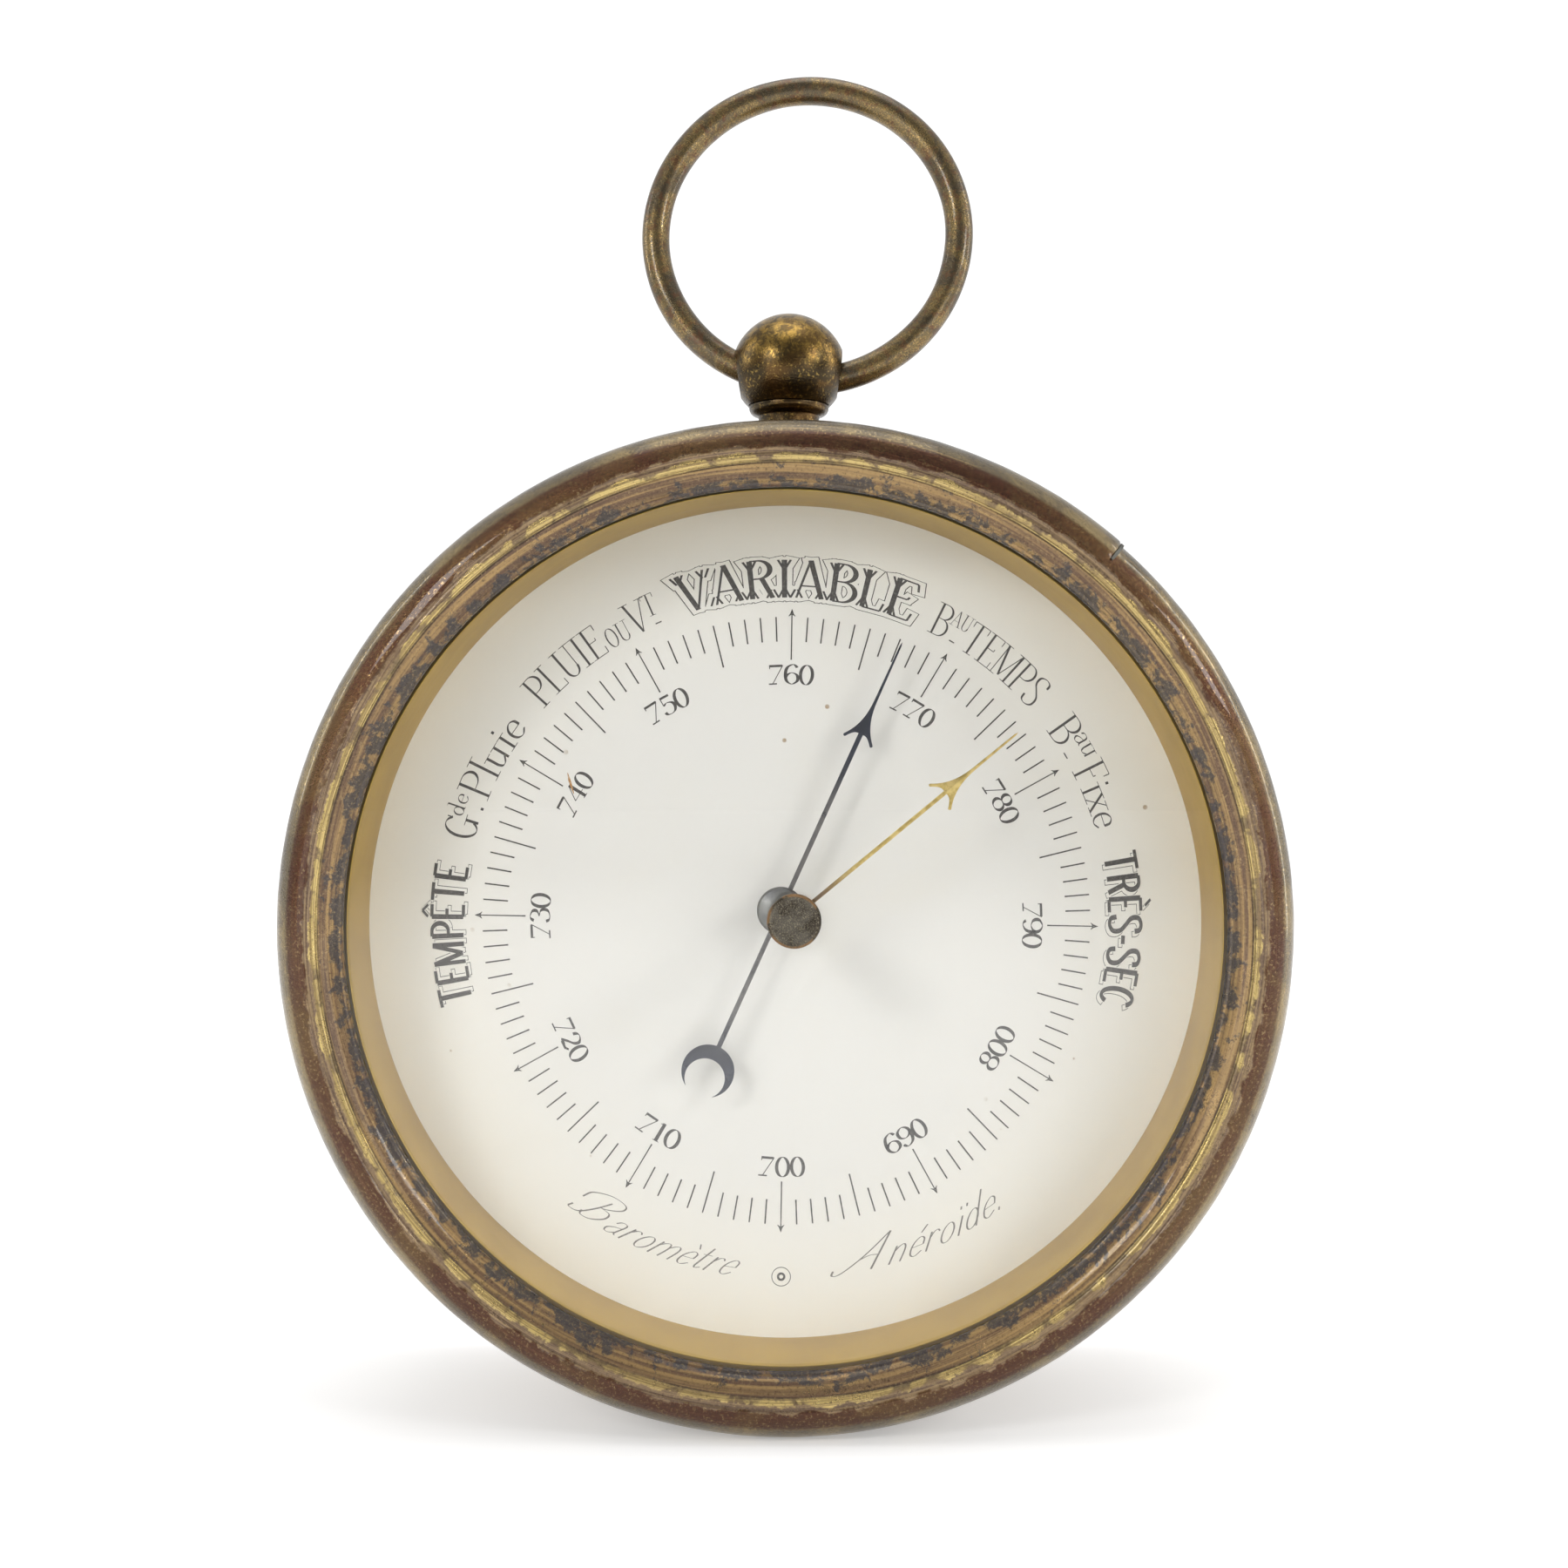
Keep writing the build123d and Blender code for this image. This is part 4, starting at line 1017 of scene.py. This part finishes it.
def pointer():
    refined("pointer_blade", "pointer", "blued_steel", "pointer_assembly", 0.07)
    section = outline((0.8, 30.3), (1.3, 30.3), (1.3, 32.4), (3.1, 32.4), (3.15, 32.7), (2.9, 33.2),
                      ((1.7, 33.7), (0.4, 33.9)), (0, 33.9))
    mesh = lathe(eased([Vector((0, 30.3)), *section], 0.05, closed=False), POINTER_AXIS, 96, closed=False)
    piece("pointer_cap", mesh, "bright_steel", "pointer_assembly", "pointer_boss")


def setting_hand():
    refined("setting_blade", "setting_hand", "setting_brass", "setting", 0.07)


def knob():
    section = outline((0, 44.6), (1.5, 44.6), (1.5, 43.5), (1.9, 43.5), (1.9, 44.7), (3.0, 44.9),
                      ((3.34, 45.35), (3.36, 46.0)), ((3.33, 46.8), (3.05, 47.08)), (2.78, 46.92), (0, 46.86))

    def shape(angle, radius, depth):
        """Small dents in the face and a rim that wear has made uneven."""
        local = wobble(radius * sin(angle), radius * cos(angle), 0, 41)
        if depth > 46.5:
            depth += 0.05 * local + 0.03 * wobble(3 * radius * sin(angle), 3 * radius * cos(angle), 0, 43)
        return radius * (1 + 0.008 * around(angle, 1.5, depth, 47)), depth

    profile = eased(divided(section, 0.25, closed=False), 0.08, closed=False)
    mesh = lathe(profile, SETTING_AXIS, 128, closed=False, shape=shape)
    piece("setting_knob_head", mesh, "knob_brass", "setting", "setting_knob", sharp=50)


# ---- pendant and ring ----

PENDANT_X = RING_PIVOT[0] / MM
PENDANT_DEPTH = -RING_PIVOT[1] / MM
BALL_HEIGHT = 75.5
BALL_RADIUS = 7.5


def upright_place(x, y, height):
    """A point turned about the pendant's upright axis, in the row frame."""
    return Vector((PENDANT_X + x, -PENDANT_DEPTH + y, height)) * MM


def pendant():
    """Stem and ball, with the bore that the ring passes through."""
    section = outline((6.0, 60.6), (6.0, 62.4), (5.2, 63.2), ((4.05, 66.2), (4.2, 68.9)), (4.9, 69.2),
                      ((5.35, 69.9), (5.2, 70.6)), (5.5, 70.42))
    start = atan2(70.42 - BALL_HEIGHT, 5.5)
    ball = [Vector((BALL_RADIUS * cos(t), BALL_HEIGHT + BALL_RADIUS * sin(t)))
            for t in [start + (pi / 2 - start) * k / 60 for k in range(1, 60)]]
    profile = [Vector((0, 60.6)), *eased(section, 0.12, closed=False), *ball,
               Vector((0, BALL_HEIGHT + BALL_RADIUS))]

    def shape(angle, radius, height):
        """The ball is a little wider than it is high, and knocks and wear have left it out of true."""
        wider = 0.045 * max(0.0, 1 - ((height - BALL_HEIGHT) / BALL_RADIUS) ** 2)
        return radius * (1 + wider + 0.006 * around(angle, 1.6, height * 0.3, 53)), height

    mesh = lathe(profile, segments=160, closed=False, shape=shape, to_row=upright_place)
    body = piece("pendant_ball", mesh, "pendant_brass", "case", "pendant", sharp=40)

    bore = outline((0, -9.0), (3.3, -9.0), (3.3, -6.7), (3.22, -6.4), (3.22, 6.4), (3.3, 6.7), (3.3, 9.0),
                   (0, 9.0))
    height = RING_PIVOT[2] / MM
    mesh = lathe(bore, segments=96, closed=False,
                 to_row=lambda x, y, along: upright_place(along, y, height + x))
    bmesh.ops.recalc_face_normals(mesh, faces=mesh.faces)
    cutter = mesh_object("bore_cutter", mesh)
    cut = body.modifiers.new("bore", "BOOLEAN")
    cut.object = cutter
    cut.operation = "DIFFERENCE"
    cut.solver = "EXACT"
    shown = body.evaluated_get(bpy.context.evaluated_depsgraph_get())
    drilled = bpy.data.meshes.new_from_object(shown)
    drilled.set_sharp_from_angle(angle=radians(30))
    body.modifiers.clear()
    body.data = drilled
    bpy.data.objects.remove(cutter)


RING_CENTRE = (3.02, 94.63, 19.76)
RING_RADIUS = 21.06
WIRE_RADIUS = 1.9
RING_LEAN = 7.2
RING_YAW = 2.64


def hanging_ring():
    """Drawn wire bent into a ring, a little uneven, leaning back on its pendant."""
    mesh = bmesh.new()
    turns, sides = 320, 36
    lean, yaw = radians(RING_LEAN), radians(RING_YAW)
    rows = []
    for i in range(turns):
        angle = tau * i / turns
        wire = WIRE_RADIUS * (1 + 0.018 * around(angle, 3, 0, 61))
        middle = RING_RADIUS + 0.05 * around(angle, 2, 0, 67)
        row = []
        for k in range(sides):
            turn = tau * k / sides
            dent = 1 + 0.014 * wobble(3 * sin(angle), 3 * cos(angle), 0.7 * cos(turn), 71)
            out = middle + wire * dent * cos(turn)
            x, up, forward = out * sin(angle), out * cos(angle), wire * dent * sin(turn)
            up, forward = up * cos(lean) + forward * sin(lean), forward * cos(lean) - up * sin(lean)
            x, forward = x * cos(yaw) - forward * sin(yaw), forward * cos(yaw) + x * sin(yaw)
            row.append(mesh.verts.new(at(RING_CENTRE[0] + x, RING_CENTRE[1] + up, RING_CENTRE[2] + forward)))
        rows.append(row)
    skin(mesh, rows[-1:] + rows)
    piece("hanging_ring_wire", mesh, "ring_brass", "ring", "hanging_ring")


# ---- movement parts, fixed where they stand ----

def mainspring():
    """The leaf spring, a finer copy of its CAD piece; the lever and the place of a bend are named, but it is fixed
    where it stands and does not follow the lever.
    """
    flex = ("case", "lever", at(-31.0, -16.0, 18.4), at(-31.0, -16.0, 22.0))
    refined("leaf_spring", "mainspring", "spring_steel", flex, 0.04)


def chain():
    """The fusee chain as a row of links filling the CAD chain's box; it is fixed where it stands and does not
    follow the rocker's long arm.
    """
    low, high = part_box("chain")
    middle, half = (low + high) / 2, (high - low) / 2
    mesh = bmesh.new()
    links = 40
    rows = []
    for k in range(2 * links + 1):
        x = low.x + (high.x - low.x) * k / (2 * links)
        size = half if k % 2 else half * 0.72
        rows.append([mesh.verts.new((x, middle.y + size.y * side, middle.z + size.z * up))
                     for side, up in ((-1, -1), (1, -1), (1, 1), (-1, 1))])
    skin(mesh, rows, capped=True)
    flex = ("case", "rocker_assembly", Vector((high.x - 0.009, low.y, low.z)), Vector((high.x, low.y, low.z)))
    piece("fusee_chain", mesh, "movement_steel", flex, "chain")


# ---- the nodes that stay as they are ----

def dress_nodes():
    """Gives each CAD node the material of its slot."""
    slots = {part["node"]: part["material_slot"] for part in frame["record"]["subparts"]}
    for name, node in frame["nodes"].items():
        node.data.materials.clear()
        node.data.materials.append(MATERIALS[slots[name]])
    frame["nodes"]["glass"].visible_shadow = False


# ---- floor, light and camera ----

AIM = Vector((0, -0.03, 0.0))      # the middle of the dial


def floor():
    """White, dimmer towards the room in front, and lit from within so that it fades into the surroundings. The
    glow is weaker near the object, a painted shade round it.
    """
    mesh = bmesh.new()
    bmesh.ops.create_circle(mesh, cap_ends=True, segments=128, radius=6.0)
    plane = mesh_object("floor", mesh)
    plane.location = (0, 0, FLOOR_LEVEL)
    s = Shader("floor_white", roughness=0.7, emission_color=(1, 1, 1))
    nearness = s.math("MAXIMUM", s.span(s.height("Y"), -2.0, -0.4), s.camera_ray())
    # the glow is weaker near the object: painted shade round its foot that deepens its shadow on the floor
    glow_with_painted_shade = s.span(s.length(s.place), 0.12, 0.60, 0.32, 0.50)
    s.set("Emission Strength", s.span(nearness, 0.0, 1.0, 0.14, glow_with_painted_shade))
    s.finish(s.mix(nearness, (0.30, 0.30, 0.30), (0.90, 0.90, 0.90)))
    plane.data.materials.append(MATERIALS["floor_white"])


def soft_light(name, place, size, power, height=None):
    """A soft light aimed at the dial, square unless it has a height of its own."""
    lamp = bpy.data.lights.new(name, "AREA")
    lamp.shape = "RECTANGLE"
    lamp.size = size
    lamp.size_y = height or size
    lamp.energy = power
    thing = add_object(name, lamp)
    thing.location = place
    thing.rotation_euler = (AIM - Vector(place)).to_track_quat("-Z", "Y").to_euler()


def surroundings():
    """White to the camera; to the object, dimmer in front, where the room is."""
    world = bpy.data.worlds.new("white_room")
    bpy.context.scene.world = world
    world.use_nodes = True
    world.node_tree.nodes.clear()
    s = Nodes(world.node_tree, "Generated")
    seen = s.add("Background", (1, 1, 1), 1.1).outputs[0]
    lit = s.add("Background", s.span(s.height("Y"), -0.85, 0.10, 0.32, 0.80), 1.0).outputs[0]
    both = s.add("MixShader", s.camera_ray(), lit, seen).outputs[0]
    s.add("OutputWorld", both)


def light():
    """Soft lights round the front, and a strip at each side for the rims."""
    soft_light("top_light", (0, -0.06, 0.75), 0.5, 1.4)
    soft_light("left_light", (-0.46, -0.6, 0.365), 0.19, 1.35)
    soft_light("right_light", (0.62, -0.44, 0.36), 0.17, 1.15)
    soft_light("front_left_light", (-0.62, -0.85, 0.06), 0.4, 1.05)
    soft_light("front_right_light", (0.64, -0.85, 0.06), 0.4, 1.2)
    soft_light("left_strip", (-0.72, 0.03, 0.36), 0.06, 0.7, height=0.45)
    soft_light("right_strip", (0.72, 0.03, 0.26), 0.06, 1.3, height=0.70)


def camera():
    """Square-on, level with the upper half of the dial, 25 cm in front of the bezel's widest line."""
    lens = bpy.data.cameras.new("camera")
    lens.lens = 44.845
    lens.sensor_width = 36.0
    lens.clip_start = 0.01
    thing = add_object("camera", lens)
    thing.location = (-0.00017, -0.291, 0.0184)
    thing.rotation_euler = (pi / 2, 0, 0)
    bpy.context.scene.camera = thing
    bpy.context.scene.view_settings.view_transform = "Standard"


materials()
dress_nodes()
bezel()
seam_line()
drum()
sight_ring()
dial()
pointer()
setting_hand()
knob()
pendant()
hanging_ring()
mainspring()
chain()
floor()
surroundings()
light()
camera()
